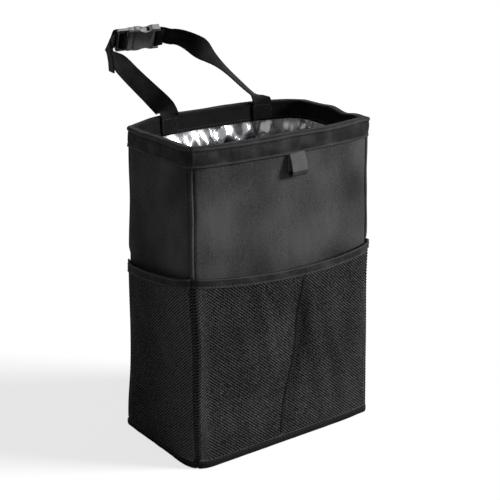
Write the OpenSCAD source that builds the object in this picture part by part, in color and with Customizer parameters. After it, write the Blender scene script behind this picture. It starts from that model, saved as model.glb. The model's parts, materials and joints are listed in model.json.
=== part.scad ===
// Soft-sided car trash bin: a fabric bag with stiffened walls, a foil lining, mesh pockets
// and a webbing headrest strap that a side-release buckle closes.
// The origin is the centre of the underside, +Z is up and the wide front wall faces -Y.

/* [Bag] */
// Height of the bag without its strap
bag_h = 295; // [290:1:300]
// Width of the bag at its base
base_w = 202; // [198:1:206]
// Depth of the bag at its base
base_d = 114; // [112:1:118]
// Width of the bag at its rim
top_w = 199; // [196:1:202]
// Depth of the bag at its rim, measured at the corners
top_d = 100; // [98:1:104]
// How far the front wall bows out at the rim
front_bow = 7.5; // [6:0.5:9]
// How far the back wall bows out at the rim
back_bow = 20; // [19:0.5:21]

/* [Fabric] */
// Thickness of the outer fabric
fabric_t = 1.6; // [1.4:0.1:1.6]
// Thickness of a wall's stiffening board
board_t = 2.0; // [1.8:0.1:2]
// Thickness of the foil lining
foil_t = 0.8; // [0.6:0.1:0.8]
// Height of the binding round the rim
band_h = 17; // [15:1:19]
// Height of the binding round the base
foot_h = 7; // [6:0.5:8]

/* [Pockets] */
// Height of the pockets' top edge at the corners
pocket_h = 181; // [175:1:185]
// How far the front pocket stands out in its middle
front_bulge = 9; // [7:0.5:11]
// How far a side pocket stands out in its middle
side_bulge = 7; // [6:0.5:8]
// How far the front pocket's edge sags in its middle
pocket_sag = 5; // [3:0.5:6]
// Height of the binding on a pocket's edge
pocket_binding_h = 8; // [7:0.5:9]
// Thickness of the mesh
mesh_t = 1.0; // [0.8:0.1:1]
// Gaps across the front pocket
front_gaps = 14; // [10:2:14]
// Gaps across a side pocket
side_gaps = 8; // [6:1:8]
// Gaps up a pocket
gap_rows = 8; // [6:1:8]

/* [Strap] */
// Width of the webbing
webbing_w = 20; // [19:0.5:20.5]
// Thickness of the webbing
webbing_t = 1.4; // [1.2:0.1:1.4]
// Half the distance between the strap's sewn ends
strap_x = 52; // [50:1:54]
// How far both sewn ends sit right of the middle
strap_shift = 4.5; // [0:0.5:5]
// Width of the pull tab on the front
tab_w = 17; // [15:1:19]
// Length of the pull tab
tab_l = 20; // [19:1:22]

/* [Buckle] */
// Length of the closed buckle
buckle_l = 41.3; // [41.3:0.1:41.3]
// Width of the buckle
buckle_w = 27; // [26.6:0.1:27.4]
// Thickness of the socket
buckle_t = 7.5; // [7.2:0.1:7.8]
// Turn of the buckle about the vertical
buckle_yaw = -15.3; // [-16:0.1:-15]
// Rise of the buckle towards the socket
buckle_rise = 2.7; // [2:0.1:3]
// Backward tilt of the buckle
buckle_tilt = 36.6; // [36:0.1:37]

/* [Hidden] */

// Clearance between layers of the wall
gap = 0.1;
// Distance from a wall's corner to the edge of its panel
corner_in = 5;
// Radius of a corner piping and the distance of its middle from both walls
piping_r = 2.25;
piping_in = 2.5;
// Depth of the middle of the board and of the lining behind the outer face
board_n = fabric_t + gap;
foil_n = board_n + board_t + gap;
// Height at which the walls start, and at which the layers end inside the rim binding
wall_z = foot_h + gap;
layer_top = bag_h - 4;
band_z = bag_h - band_h;
// Outer and inner face of the rim binding, from the wall's outer face
band_out = 1.5;
band_in = 6.1;
band_wall = 1.3;
// Outer and inner face of the base binding
foot_out = 1.5;
foot_in = foil_n - gap;
// Facets along the front and back, the sides and up the walls
wall_steps = 14;
side_steps = 4;
rise_steps = 6;
arc_steps = 4;
bow_power = 3;
// Where the pocket's dividing seam starts and ends, left to right
seam_top_x = 9;
seam_foot_x = -4;
seam_width = 11;
seam_depth = 0.85;
// Gap of a pocket's mesh from the wall at its foot and at its edge
mesh_foot_n = 0.15;
mesh_top_n = 0.95;
mesh_edge = 1;
mesh_under = 1.5;
foot_z = wall_z + gap;
binding_wall = 0.8;
// Share of a mesh cell that is left as cord on each side of its gap
mesh_cord = 0.2;
// The pull tab's middle, the thickness of its webbing and how far it stands out
tab_x = 7;
tab_t = 1.2;
tab_out = 8.2;
// Thickness of the base's panel and board
base_panel_t = 1.8;
base_board_t = 3;
// The buckle's mouth, from which its length is measured, and the plug's share of the length
buckle_at = [-44.2, 112.8, 359.5];
mouth_x = -7;
socket_l = 24.8;
plug_l = buckle_l - socket_l;
// The bars that webbing turns on: place along the buckle, radius, radius of the webbing's middle
socket_end_x = mouth_x + socket_l;
bar_x = socket_end_x - 2.1;
bar_r = 1.5;
bar_turn_r = 2.45;
plug_end_x = mouth_x - plug_l;
edge_bar_x = plug_end_x + 1.5;
lock_bar_x = edge_bar_x + 5.9;
lock_bar_r = 1.4;
lock_turn_r = 2.4;
// The socket's hollow, its windows, its finger hollows and its open end
inside_w = 22;
inside_t = 4.6;
inside_l = 16.5;
window_x = [-2, 7.5];
hollow_x = 4;
hollow_r = 8;
bar_slot_x = socket_end_x - 5.5;
bar_slot_w = 21.4;
// The plug's ladder frame, its collar and how far its arms reach into the socket
frame_t = 3;
collar_x = -12.7;
collar_t = 6.4;
arm_tip_x = 7;

// Shared shape of the bag
function mix(a, b, t) = a + (b - a) * t;
function clamp01(t) = min(max(t, 0), 1);
function smooth(t) = let (c = clamp01(t)) c * c * (3 - 2 * c);
function unit(v) = v / norm(v);
function half_w(z) = mix(base_w, top_w, z / bag_h) / 2;
function half_d(z) = mix(base_d, top_d, z / bag_h) / 2;
function across(x, z) = min(abs(x) / (half_w(z) - corner_in), 1);
function front_y(x, z) = -half_d(z) - front_bow * pow(z / bag_h, 1.5) * (1 - pow(across(x, z), 2));
function back_y(x, z) = half_d(z) + back_bow * pow(z / bag_h, 2) * (1 - pow(across(x, z), bow_power));

// The middle points of a corner's quarter circle
function corner_arc(x, y, r, start, z) =
    [for (i = [1:arc_steps - 1]) let (a = start + 90 * i / arc_steps) [x + r * cos(a), y + r * sin(a), z]];

// Points round the bag at height z, n outside the wall's outer face, counter-clockwise
function round_bag(z, n) =
    let (w = half_w(z), d = half_d(z), r = corner_in + n, cx = w - corner_in, cy = d - corner_in)
    concat(
        [for (i = [0:wall_steps]) let (x = mix(-cx, cx, i / wall_steps)) [x, front_y(x, z) - n, z]],
        corner_arc(cx, -cy, r, -90, z),
        [for (i = [0:side_steps]) [w + n, mix(-cy, cy, i / side_steps), z]],
        corner_arc(cx, cy, r, 0, z),
        [for (i = [0:wall_steps]) let (x = mix(cx, -cx, i / wall_steps)) [x, back_y(x, z) + n, z]],
        corner_arc(-cx, cy, r, 90, z),
        [for (i = [0:side_steps]) [-w - n, mix(cy, -cy, i / side_steps), z]],
        corner_arc(-cx, -cy, r, 180, z)
    );

// Height of a wall's rows: the last one lies behind the rim binding
function wall_height(v) =
    let (r = v * rise_steps)
    r < rise_steps - 1
        ? mix(wall_z, band_z, r / (rise_steps - 1))
        : mix(band_z, layer_top, r - rise_steps + 1);

// Nested faces are split alike: seen from outside, each from its lower left to its upper right corner

// A solid between rings that lie round the bag or across a strip, of as many points each
module skin(rings) {
    n = len(rings[0]);
    m = len(rings);
    sides = [
        for (i = [0:m - 2], j = [0:n - 1])
            let (k = (j + 1) % n, a = i * n, b = a + n)
            each rings[i + 1][0][2] < rings[i][0][2]
                ? [[a + j, b + j, a + k], [a + k, b + j, b + k]]
                : [[a + j, b + j, b + k], [a + j, b + k, a + k]]
    ];
    caps = [[for (j = [0:n - 1]) j], [for (j = [n - 1:-1:0]) (m - 1) * n + j]];
    polyhedron([for (r = rings) each r], concat(sides, caps), convexity = 10);
}

// A solid between rings whose section is a bent strip: each ring holds the points of one face of
// the strip and then those of the other face in reverse
module channel(rings, closed = false) {
    n = len(rings[0]);
    m = len(rings);
    turns = closed ? m : m - 1;
    sides = [
        for (i = [0:turns - 1], j = [0:n - 1])
            let (k = (j + 1) % n, a = i * n, b = ((i + 1) % m) * n)
            each rings[i][k][2] < rings[i][j][2]
                ? [[a + j, a + k, b + j], [a + k, b + k, b + j]]
                : [[a + j, a + k, b + k], [a + j, b + k, b + j]]
    ];
    last = (m - 1) * n;
    caps = closed ? [] : [
        for (j = [0:n / 2 - 2])
            let (p = n - 1 - j)
            each [
                [j, p - 1, j + 1], [j, p, p - 1],
                [last + j, last + j + 1, last + p - 1], [last + j, last + p - 1, last + p]
            ]
    ];
    polyhedron([for (r = rings) each r], concat(sides, caps), convexity = 10);
}

// A sheet between the faces outer(u, v) and inner(u, v), with u across and v up as seen from outside.
// The cells of its lowest rows, as many as open_rows, have a diamond gap each.
module sheet(outer, inner, nu, nv, open_rows = 0) {
    us = [for (i = [0:nu]) i / nu];
    vs = [for (j = [0:nv]) j / nv];
    count = (nu + 1) * (nv + 1);
    row = nv + 1;
    cells = [for (i = [0:nu - 1], j = [0:nv - 1]) [i, j]];
    diamond = [[0.5, mesh_cord], [1 - mesh_cord, 0.5], [0.5, 1 - mesh_cord], [mesh_cord, 0.5]];
    holes = [for (c = cells) if (c[1] < open_rows) c];
    corners = concat(
        [for (u = us, v = vs) outer(u, v)], [for (u = us, v = vs) inner(u, v)],
        [for (c = holes, h = diamond) outer((c[0] + h[0]) / nu, (c[1] + h[1]) / nv)],
        [for (c = holes, h = diamond) inner((c[0] + h[0]) / nu, (c[1] + h[1]) / nv)]
    );
    plain = [
        for (cell = cells) if (cell[1] >= open_rows)
            let (a = cell[0] * row + cell[1], b = a + row, c = b + 1, d = a + 1)
            each [[a, c, b], [a, d, c], [count + a, count + b, count + c], [count + a, count + c, count + d]]
    ];
    netted = [
        for (q = [0:1:len(holes) - 1])
            let (
                a = holes[q][0] * row + holes[q][1], ring = [a, a + row, a + row + 1, a + 1],
                h = 2 * count + 4 * q, g = h + 4 * len(holes)
            )
            for (s = [0:3])
                let (t = (s + 1) % 4, p = ring[s], r = ring[t])
                each [
                    [p, h + s, r], [r, h + s, h + t],
                    [count + p, count + r, g + s], [count + r, g + t, g + s],
                    [h + s, g + s, g + t], [h + s, g + t, h + t]
                ]
    ];
    // Along each edge a strip joins the two faces; walk is turned so that it faces outwards
    walk = concat(
        [for (j = [0:nv - 1]) [j + 1, j]],
        [for (j = [0:nv - 1]) [nu * row + j, nu * row + j + 1]],
        [for (i = [0:nu - 1]) [i * row, (i + 1) * row]],
        [for (i = [0:nu - 1]) [(i + 1) * row + nv, i * row + nv]]
    );
    edges = [for (e = walk) each [[e[0], e[1], count + e[1]], [e[0], count + e[1], count + e[0]]]];
    polyhedron(corners, concat(plain, netted, edges), convexity = 10);
}

// A point of the front or back wall, n outside its outer face
front_at = function(u, z, n) let (x = mix(-1, 1, u) * (half_w(z) - corner_in)) [x, front_y(x, z) - n, z];
back_at = function(u, z, n) let (x = mix(1, -1, u) * (half_w(z) - corner_in)) [x, back_y(x, z) + n, z];
right_at = function(u, z, n) [half_w(z) + n, mix(-1, 1, u) * (half_d(z) - corner_in), z];
left_at = function(u, z, n) [-half_w(z) - n, mix(1, -1, u) * (half_d(z) - corner_in), z];

// One layer of a wall, from depth_a to depth_b behind its outer face
module layer(at, depth_a, depth_b, steps) {
    sheet(
        function(u, v) at(u, wall_height(v), -depth_a),
        function(u, v) at(u, wall_height(v), -depth_b),
        steps, rise_steps
    );
}

module front_panel() { color("#3d3d3f") layer(front_at, 0, fabric_t, wall_steps); }
module back_panel() { color("#2b2b2d") layer(back_at, 0, fabric_t, wall_steps); }
module left_panel() { color("#262628") layer(left_at, 0, fabric_t, side_steps); }
module right_panel() { color("#262628") layer(right_at, 0, fabric_t, side_steps); }
module front_board() { color("#c9c5bb") layer(front_at, board_n, board_n + board_t, wall_steps); }
module back_board() { color("#c9c5bb") layer(back_at, board_n, board_n + board_t, wall_steps); }
module left_board() { color("#c9c5bb") layer(left_at, board_n, board_n + board_t, side_steps); }
module right_board() { color("#c9c5bb") layer(right_at, board_n, board_n + board_t, side_steps); }

// The plan of the base inside its binding
module base_plan() {
    polygon([for (p = round_bag(foot_h, -foot_in - gap)) [p[0], p[1]]]);
}

module base_panel() {
    color("#1f1f21") linear_extrude(base_panel_t) base_plan();
}

module base_board() {
    color("#c9c5bb") translate([0, 0, base_panel_t + gap]) linear_extrude(base_board_t) base_plan();
}

// The lining is a bag of its own: up its outer face, over its edge and down its inner face
module foil_lining() {
    floor_z = base_panel_t + base_board_t + 2 * gap;
    heights = [for (i = [0:rise_steps]) wall_height(i / rise_steps)];
    outside = concat([round_bag(floor_z, -foil_n)], [for (z = heights) round_bag(z, -foil_n)]);
    inside = [for (i = [rise_steps:-1:0]) round_bag(heights[i], -foil_n - foil_t)];
    color("#c4c6c8") skin(concat(outside, inside, [round_bag(floor_z + foil_t, -foil_n - foil_t)]));
}

// The rim binding is folded over the edge: [n, height] of its outer face and of its inner face
band_outer = [
    [band_out, band_z], [band_out, bag_h - 2.2], [band_out - 1.4, bag_h],
    [-band_in + 1.4, bag_h], [-band_in, bag_h - 2.2], [-band_in, band_z]
];
band_inner = [
    [-band_in + band_wall, band_z], [-band_in + band_wall, bag_h - 2.6],
    [-band_in + band_wall + 0.6, bag_h - 2], [band_out - band_wall - 0.6, bag_h - 2],
    [band_out - band_wall, bag_h - 2.6], [band_out - band_wall, band_z]
];

// Rings across a binding that runs round the bag, from its section's [n, height] points
function round_rings(section) =
    let (loops = [for (s = section) round_bag(s[1], s[0])])
    [for (k = [0:len(loops[0]) - 1]) [for (l = loops) l[k]]];

module rim_binding() {
    color("#37373a") channel(round_rings(concat(band_outer, band_inner)), closed = true);
}

foot_section = [
    [foot_out - 1.3, 0], [foot_out - 0.3, 0.8], [foot_out, 2.4], [foot_out, foot_h - 1.4],
    [foot_out - 0.6, foot_h - 0.3], [foot_out - 1.2, foot_h], [-foot_in, foot_h], [-foot_in, 0]
];

module base_binding() {
    color("#1c1c1e") channel(round_rings(foot_section), closed = true);
}

// A piping stands in each corner and leans in with the walls
module piping(sx, sy) {
    foot = [sx * (half_w(wall_z) - piping_in), sy * (half_d(wall_z) - piping_in), wall_z + gap];
    head_z = band_z - 0.6;
    head = [sx * (half_w(head_z) - piping_in), sy * (half_d(head_z) - piping_in), head_z];
    lean = head - foot;
    color("#303032")
        translate(foot)
            rotate([0, acos(lean[2] / norm(lean)), atan2(lean[1], lean[0])])
                cylinder(h = norm(lean), r = piping_r, $fn = 32);
}

module front_left_piping() { piping(-1, -1); }
module front_right_piping() { piping(1, -1); }
module back_left_piping() { piping(-1, 1); }
module back_right_piping() { piping(1, 1); }

// A pocket's edge sags between the corners: s runs from -1 to 1 across it
function edge_z(s) = pocket_h - pocket_sag * (1 - s * s);
function pocket_rise(s, z) = clamp01((z - foot_z) / (edge_z(s) - foot_z));
function hang(s, t, bulge) =
    mix(mesh_foot_n, mesh_top_n, t) + bulge * pow(max(1 - pow(abs(s), 2.4), 0), 0.8) * pow(t, 0.6);
// The seam that divides the front pocket draws the mesh back to the wall below its edge
function seam_pull(x, t) =
    let (off = (x - mix(seam_foot_x, seam_top_x, t)) / seam_width)
    1 - seam_depth * exp(-off * off) * (1 - smooth((t - 0.65) / 0.3));
front_pocket = function(u, z, n)
    let (
        s = 2 * u - 1, t = pocket_rise(s, z), x = s * (half_w(z) - mesh_edge),
        out = mix(mesh_foot_n, hang(s, t, front_bulge), seam_pull(x, t))
    )
    [x, front_y(x, z) - out - n, z];
function side_pocket(u, z, n, side) =
    let (s = 2 * u - 1, t = pocket_rise(s, z))
    [side * (half_w(z) + hang(s, t, side_bulge) + n), side * s * (half_d(z) - mesh_edge), z];
left_pocket = function(u, z, n) side_pocket(u, z, n, -1);
right_pocket = function(u, z, n) side_pocket(u, z, n, 1);

// The mesh has its gaps below the binding, and one plain row behind it
module pocket_mesh(at, across_gaps) {
    function height(u, v) =
        let (r = v * (gap_rows + 1), edge = edge_z(2 * u - 1), below = edge - pocket_binding_h)
        r < gap_rows ? mix(foot_z, below, r / gap_rows) : mix(below, edge - mesh_under, r - gap_rows);
    color("#2a2a2c") sheet(
        function(u, v) at(u, height(u, v), mesh_t),
        function(u, v) at(u, height(u, v), 0),
        across_gaps, gap_rows + 1, gap_rows
    );
}

// The binding folds over the mesh: [n, height] from the mesh's inner face and its top edge
function binding_section() =
    let (w = binding_wall, c = gap, h = -pocket_binding_h, m = mesh_t)
    concat(
        [[m + w, h], [m + w, -0.7], [m + w - 0.6, 0], [0.6 - w, 0], [-w, -0.7], [-w, h]],
        [[-c, h], [-c, -2], [-c, -1.4], [m + c, -1.4], [m + c, -2], [m + c, h]]
    );

module pocket_binding(at, steps) {
    color("#3a3a3c") channel([
        for (i = [0:steps]) let (u = i / steps, top = edge_z(2 * u - 1))
            [for (s = binding_section()) at(u, top + s[1], s[0])]
    ]);
}

module front_pocket_mesh() { pocket_mesh(front_pocket, front_gaps); }
module left_pocket_mesh() { pocket_mesh(left_pocket, side_gaps); }
module right_pocket_mesh() { pocket_mesh(right_pocket, side_gaps); }
module front_pocket_binding() { pocket_binding(front_pocket, front_gaps); }
module left_pocket_binding() { pocket_binding(left_pocket, side_gaps); }
module right_pocket_binding() { pocket_binding(right_pocket, side_gaps); }

// The pull tab is a doubled strip of webbing: flat on the wall, round at its foot and back up
module front_tab() {
    top = band_z - 0.3;
    back_n = mesh_foot_n + tab_t / 2;
    turn_r = (tab_out - tab_t - mesh_foot_n) / 2;
    turn = [back_n + turn_r, top - tab_l + turn_r + tab_t / 2];
    seam = [back_n + tab_t + gap, top];
    slope = atan2(turn[0] + turn_r - seam[0], seam[1] - turn[1]);
    bend = [for (i = [0:12]) 180 + (180 + slope) * i / 12];
    outside = concat(
        [[back_n - tab_t / 2, top]], [for (a = bend) turn + (turn_r + tab_t / 2) * [cos(a), sin(a)]],
        [seam + [tab_t / 2, 0]]
    );
    inside = concat(
        [seam - [tab_t / 2, 0]],
        [for (i = [12:-1:0]) turn + (turn_r - tab_t / 2) * [cos(bend[i]), sin(bend[i])]],
        [[back_n + tab_t / 2, top]]
    );
    color("#5c5c5e")
        translate([tab_x - tab_w / 2, 0, 0])
            rotate([90, 0, 90])
                linear_extrude(tab_w)
                    polygon([for (p = concat(outside, inside)) [front_y(0, top) - p[0], p[1]]]);
}

// The buckle's own frame: its length from plug to socket, its thickness and its width
function turn_z(p, a) = [p[0] * cos(a) - p[1] * sin(a), p[0] * sin(a) + p[1] * cos(a), p[2]];
function turn_y(p, a) = [p[0] * cos(a) + p[2] * sin(a), p[1], p[2] * cos(a) - p[0] * sin(a)];
function turn_x(p, a) = [p[0], p[1] * cos(a) - p[2] * sin(a), p[1] * sin(a) + p[2] * cos(a)];
function buckle_way(p) = turn_z(turn_y(turn_x(p, buckle_tilt), -buckle_rise), buckle_yaw);
function buckle_point(x, y) = buckle_at + buckle_way([x, y, 0]);
module in_buckle_frame() {
    translate(buckle_at) rotate([buckle_tilt, -buckle_rise, buckle_yaw]) children();
}

// A strap is a list of stations: the middle of the webbing and the way its width points
function curve(p, t) =
    pow(1 - t, 3) * p[0] + 3 * pow(1 - t, 2) * t * p[1] + 3 * (1 - t) * t * t * p[2] + t * t * t * p[3];
function squared(w, way) = unit(w - (w * way) * way);
module webbing(stations) {
    last = len(stations) - 1;
    rings = [
        for (i = [0:last])
            let (
                c = stations[i][0],
                way = unit(stations[min(i + 1, last)][0] - stations[max(i - 1, 0)][0]),
                w = squared(stations[i][1], way) * webbing_w / 2,
                n = unit(cross(way, w)) * webbing_t / 2
            )
            [c - w - n, c + w - n, c + w + n, c - w + n]
    ];
    skin(rings);
}

// The sewn end lies on the rim binding's inner face
strap_n = band_in + webbing_t / 2 + 0.7;
function rim_way(x, z) = unit([10, back_y(x + 5, z) - back_y(x - 5, z), 0]);
function sewn_end(side) = [
    for (z = [band_z + 1, bag_h - 6, bag_h + 0.5])
        let (h = min(z, bag_h), x = side * strap_x + strap_shift)
        [[x, back_y(x, h) - strap_n, z], rim_way(x, h)]
];
// The free run turns its width from the rim's line by way of a middle direction to the buckle's width
function free_run(side, control, far, middle, turns, width) =
    let (
        x = side * strap_x + strap_shift,
        start = [x, back_y(x, bag_h) - strap_n + 0.6, bag_h + 2.5],
        points = [start, control[0], control[1], far]
    )
    [
        for (i = [0:18])
            let (t = i / 18, a = smooth(t / turns[0]), b = smooth((t - turns[1]) / (1 - turns[1])))
            [curve(points, t), mix(mix(rim_way(x, bag_h), unit(middle), a), width, b)]
    ];
function flat_run(points, width) = [for (p = points) [buckle_point(p[0], p[1]), width]];

module strap_right() {
    near = buckle_point(socket_end_x + 11, -2.6);
    width = buckle_way([0, 0, 1]);
    control = [[50, 83.7, 304], near + buckle_way([25.3, -6, 6.7])];
    run = free_run(1, control, near, [0.81, 0.51, -0.29], [0.14, 0.35], width);
    loop = [for (a = [90:36:270]) [bar_x + bar_turn_r * cos(a), bar_turn_r * sin(a)]];
    before = [for (p = [[8, -1.2], [5.5, 0.3], [3, 1.2]]) [socket_end_x + p[0], p[1]]];
    after = [for (p = [[1.5, -2.3], [4, -2]]) [socket_end_x + p[0], p[1]]];
    color("#242426") webbing(concat(sewn_end(1), run, flat_run(concat(before, loop, after), width)));
}

// The left limb comes up in front of the buckle, over its edge bar, round its lock bar and back
module strap_left() {
    near = buckle_point(edge_bar_x - 3.3, -0.6);
    width = -buckle_way([0, 0, 1]);
    control = [[-34.4, 100.6, 305.4], near + buckle_way([-16.3, -8, -4.4])];
    run = free_run(-1, control, near, [0.46, 0.43, 0.78], [0.14, 0.58], width);
    round_bar = [for (a = [190:35:365]) [lock_bar_x + lock_turn_r * cos(a), lock_turn_r * sin(a)]];
    before = [for (p = [[-2.4, 1.6], [0, 2.6], [1.8, 1.9]]) [edge_bar_x + p[0], p[1]]];
    after = [for (p = [[7.7, 2.2], [5.8, 3.9], [0, 4.4], [-3.4, 3.8]]) [edge_bar_x + p[0], p[1]]];
    through = flat_run(concat(before, round_bar, after), width);
    // The tail falls over the bend and shows its edge
    hang_way = [0.36, 0.93, 0];
    falls = [
        buckle_point(edge_bar_x - 5.6, 1.6),
        [-77.2, 118.3, 355.2], [-78.2, 114, 348], [-78.4, 111.6, 340], [-78.4, 111, 331.5]
    ];
    tail = [for (i = [0:len(falls) - 1]) [falls[i], mix(width, hang_way, smooth((i + 1) / 4))]];
    color("#242426") webbing(concat(sewn_end(-1), run, through, tail));
}

// Edge rounding of the buckle's halves: a rounded section carried along their length
module rounded_bar(length, width, thickness, r) {
    rotate([90, 0, 90])
        linear_extrude(length)
            offset(r) square([thickness - 2 * r, width - 2 * r], center = true);
}
module plate(thickness) {
    rotate([90, 0, 0]) linear_extrude(thickness, center = true) children();
}

module socket_outline() {
    half = buckle_w / 2;
    shoulder = half - 0.6;
    offset(1) offset(-1) difference() {
        polygon([
            [mouth_x, -half], [bar_slot_x - 3, -half], [bar_slot_x, -shoulder], [socket_end_x, -shoulder],
            [socket_end_x, shoulder], [bar_slot_x, shoulder], [bar_slot_x - 3, half], [mouth_x, half]
        ]);
        // Finger hollows over the windows
        for (side = [-1, 1]) translate([hollow_x, side * (half + 5)]) circle(r = hollow_r, $fn = 48);
    }
}

// A round bar across the buckle that webbing turns on
module cross_bar(x, r) {
    translate([x, 0, -bar_slot_w / 2 - 1]) cylinder(h = bar_slot_w + 2, r = r, $fn = 32);
}

module buckle_socket() {
    color("#2c2c2e") in_buckle_frame() {
        difference() {
            intersection() {
                plate(buckle_t) socket_outline();
                translate([mouth_x, 0, 0]) rounded_bar(socket_end_x - mouth_x, buckle_w, buckle_t, 1.8);
            }
            // The hollow that the plug slides into
            translate([mouth_x - 1, -inside_t / 2, -inside_w / 2]) cube([inside_l + 1, inside_t, inside_w]);
            // Windows in both edges
            translate([window_x[0], -inside_t / 2, -buckle_w])
                cube([window_x[1] - window_x[0], inside_t, 2 * buckle_w]);
            // The open end that the webbing passes through
            translate([bar_slot_x, -buckle_t, -bar_slot_w / 2]) cube([buckle_l, 2 * buckle_t, bar_slot_w]);
        }
        cross_bar(bar_x, bar_r);
    }
}

module ladder_outline() {
    half = buckle_w / 2 - 0.2;
    inner_x = collar_x + 1.3;
    difference() {
        offset(1.5) offset(-1.5)
            polygon([[plug_end_x, -half], [inner_x, -half], [inner_x, half], [plug_end_x, half]]);
        translate([plug_end_x - 1, -bar_slot_w / 2]) square([collar_x - plug_end_x + 0.9, bar_slot_w]);
    }
}

// One spring arm, from the collar to its tip, with its squeeze pad at the window
arm_root_x = mouth_x - 1.5;
module arm_outline() {
    offset(0.6) offset(-0.6) polygon([
        [arm_root_x, 5.8], [-3, 7.6], [-0.5, 7.2], [arm_tip_x - 2.1, 6.6], [arm_tip_x, 7.6],
        [arm_tip_x, 8.8], [arm_tip_x - 2.1, 10.6], [mouth_x, 10.6], [arm_root_x, 12.4]
    ]);
}

// The middle tongue that guides the plug
module tongue_outline() {
    outline = [[arm_root_x, 4], [mouth_x + 2.4, 2.8], [arm_tip_x - 1.8, 2.4], [arm_tip_x, 1.4]];
    polygon(concat(outline, [for (i = [len(outline) - 1:-1:0]) [outline[i][0], -outline[i][1]]]));
}

module buckle_plug() {
    color("#2c2c2e") in_buckle_frame() {
        plate(frame_t) ladder_outline();
        cross_bar(edge_bar_x, lock_bar_r);
        cross_bar(lock_bar_x, lock_bar_r);
        translate([collar_x, 0, 0]) rounded_bar(mouth_x - 0.3 - collar_x, buckle_w - 0.4, collar_t, 1.6);
        plate(inside_t - 0.6) {
            arm_outline();
            mirror([0, 1]) arm_outline();
            tongue_outline();
        }
    }
}

front_panel();
back_panel();
left_panel();
right_panel();
base_panel();
front_board();
back_board();
left_board();
right_board();
base_board();
foil_lining();
rim_binding();
base_binding();
front_left_piping();
front_right_piping();
back_left_piping();
back_right_piping();
front_pocket_mesh();
left_pocket_mesh();
right_pocket_mesh();
front_pocket_binding();
left_pocket_binding();
right_pocket_binding();
front_tab();
strap_left();
strap_right();
buckle_socket();
buckle_plug();
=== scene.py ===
"""Looks of the soft-sided car trash bin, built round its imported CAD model.

Shapes are worked out in millimetres, in the CAD model's own frame, and put into the meshes in metres.
"""

import json
import logging
import math
from dataclasses import dataclass, field
from enum import Enum

import bmesh
import bpy
import numpy as np
from mathutils import Matrix
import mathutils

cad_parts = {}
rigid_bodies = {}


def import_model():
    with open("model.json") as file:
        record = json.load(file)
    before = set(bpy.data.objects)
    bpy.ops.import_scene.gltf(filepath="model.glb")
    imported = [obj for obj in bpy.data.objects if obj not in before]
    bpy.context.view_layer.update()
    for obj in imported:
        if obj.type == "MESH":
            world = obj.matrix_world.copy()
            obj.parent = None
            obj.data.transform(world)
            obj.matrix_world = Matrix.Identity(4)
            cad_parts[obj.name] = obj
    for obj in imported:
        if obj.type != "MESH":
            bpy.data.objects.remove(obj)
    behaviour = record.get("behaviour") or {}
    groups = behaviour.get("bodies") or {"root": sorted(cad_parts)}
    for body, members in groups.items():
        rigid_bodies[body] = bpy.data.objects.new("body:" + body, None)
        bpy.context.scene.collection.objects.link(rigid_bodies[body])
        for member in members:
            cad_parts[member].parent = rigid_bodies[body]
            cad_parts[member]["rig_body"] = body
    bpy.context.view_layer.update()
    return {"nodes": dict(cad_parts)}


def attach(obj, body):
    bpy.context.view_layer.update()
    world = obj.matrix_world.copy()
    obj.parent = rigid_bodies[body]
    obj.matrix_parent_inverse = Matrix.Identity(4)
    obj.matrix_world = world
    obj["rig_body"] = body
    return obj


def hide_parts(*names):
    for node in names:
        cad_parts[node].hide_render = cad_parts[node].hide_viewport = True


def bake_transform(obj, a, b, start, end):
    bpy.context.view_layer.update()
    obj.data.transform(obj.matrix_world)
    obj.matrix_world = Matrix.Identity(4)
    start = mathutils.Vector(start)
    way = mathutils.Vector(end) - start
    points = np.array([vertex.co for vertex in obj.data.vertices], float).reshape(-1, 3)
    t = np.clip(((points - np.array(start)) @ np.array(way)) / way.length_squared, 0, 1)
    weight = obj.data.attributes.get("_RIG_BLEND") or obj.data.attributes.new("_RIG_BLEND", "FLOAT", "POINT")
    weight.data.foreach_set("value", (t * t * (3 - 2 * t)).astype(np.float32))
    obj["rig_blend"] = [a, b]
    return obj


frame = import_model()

log = logging.getLogger("trash_bin")
MM = 0.001
QUARTER = math.pi / 2
POLYMER_IOR = 1.5
Points = np.ndarray
Piece, Tree = bpy.types.Object, bpy.types.NodeTree
Node, Socket = bpy.types.Node, bpy.types.NodeSocket
Vector, Run = tuple[float, float, float], tuple[Points, Points]


# ---- numbers that shapes share

def mix(a: Points, b: Points, t: Points) -> Points:
    """Goes from a to b as t goes from 0 to 1."""
    return a + (b - a) * t


def smooth(t: Points) -> Points:
    """Goes from 0 to 1 with no corner at either end: 3t^2 - 2t^3 of t held between 0 and 1."""
    c = np.clip(t, 0, 1)
    return c * c * (3 - 2 * c)


def bump(t: Points) -> Points:
    """A soft hill of height 1 at t = 0 that fades with exp(-t^2)."""
    return np.exp(-np.square(t))


def unit(v: Points) -> Points:
    """Vectors brought to length 1 along their last axis."""
    v = np.asarray(v, float)
    return v / np.maximum(np.linalg.norm(v, axis=-1, keepdims=True), 1e-12)


def ripple(u: Points, v: Points, seed: int, shortest: float, longest: float, waves: int = 9) -> Points:
    """Soft unevenness of cloth: a sum of sine waves in seeded directions, scaled to about -1 to 1.

    Args:
        u: Distance across the cloth in mm.
        v: Distance up the cloth in mm.
        seed: Seed of the directions, lengths and phases.
        shortest: Shortest wavelength in mm.
        longest: Longest wavelength in mm.
        waves: Number of sine waves.

    Returns:
        The height of the unevenness at each point.
    """
    rng = np.random.default_rng(seed)
    total = np.zeros(np.broadcast(u, v).shape)
    for _ in range(waves):
        length, turn, phase = rng.uniform(shortest, longest), rng.uniform(0, math.pi), rng.uniform(0, 6.3)
        total += np.sin(2 * math.pi * (u * math.cos(turn) + v * math.sin(turn)) / length + phase)
    # The sum seldom passes 1.4 times the root of the number of waves.
    return total / math.sqrt(waves) / 1.4


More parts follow.
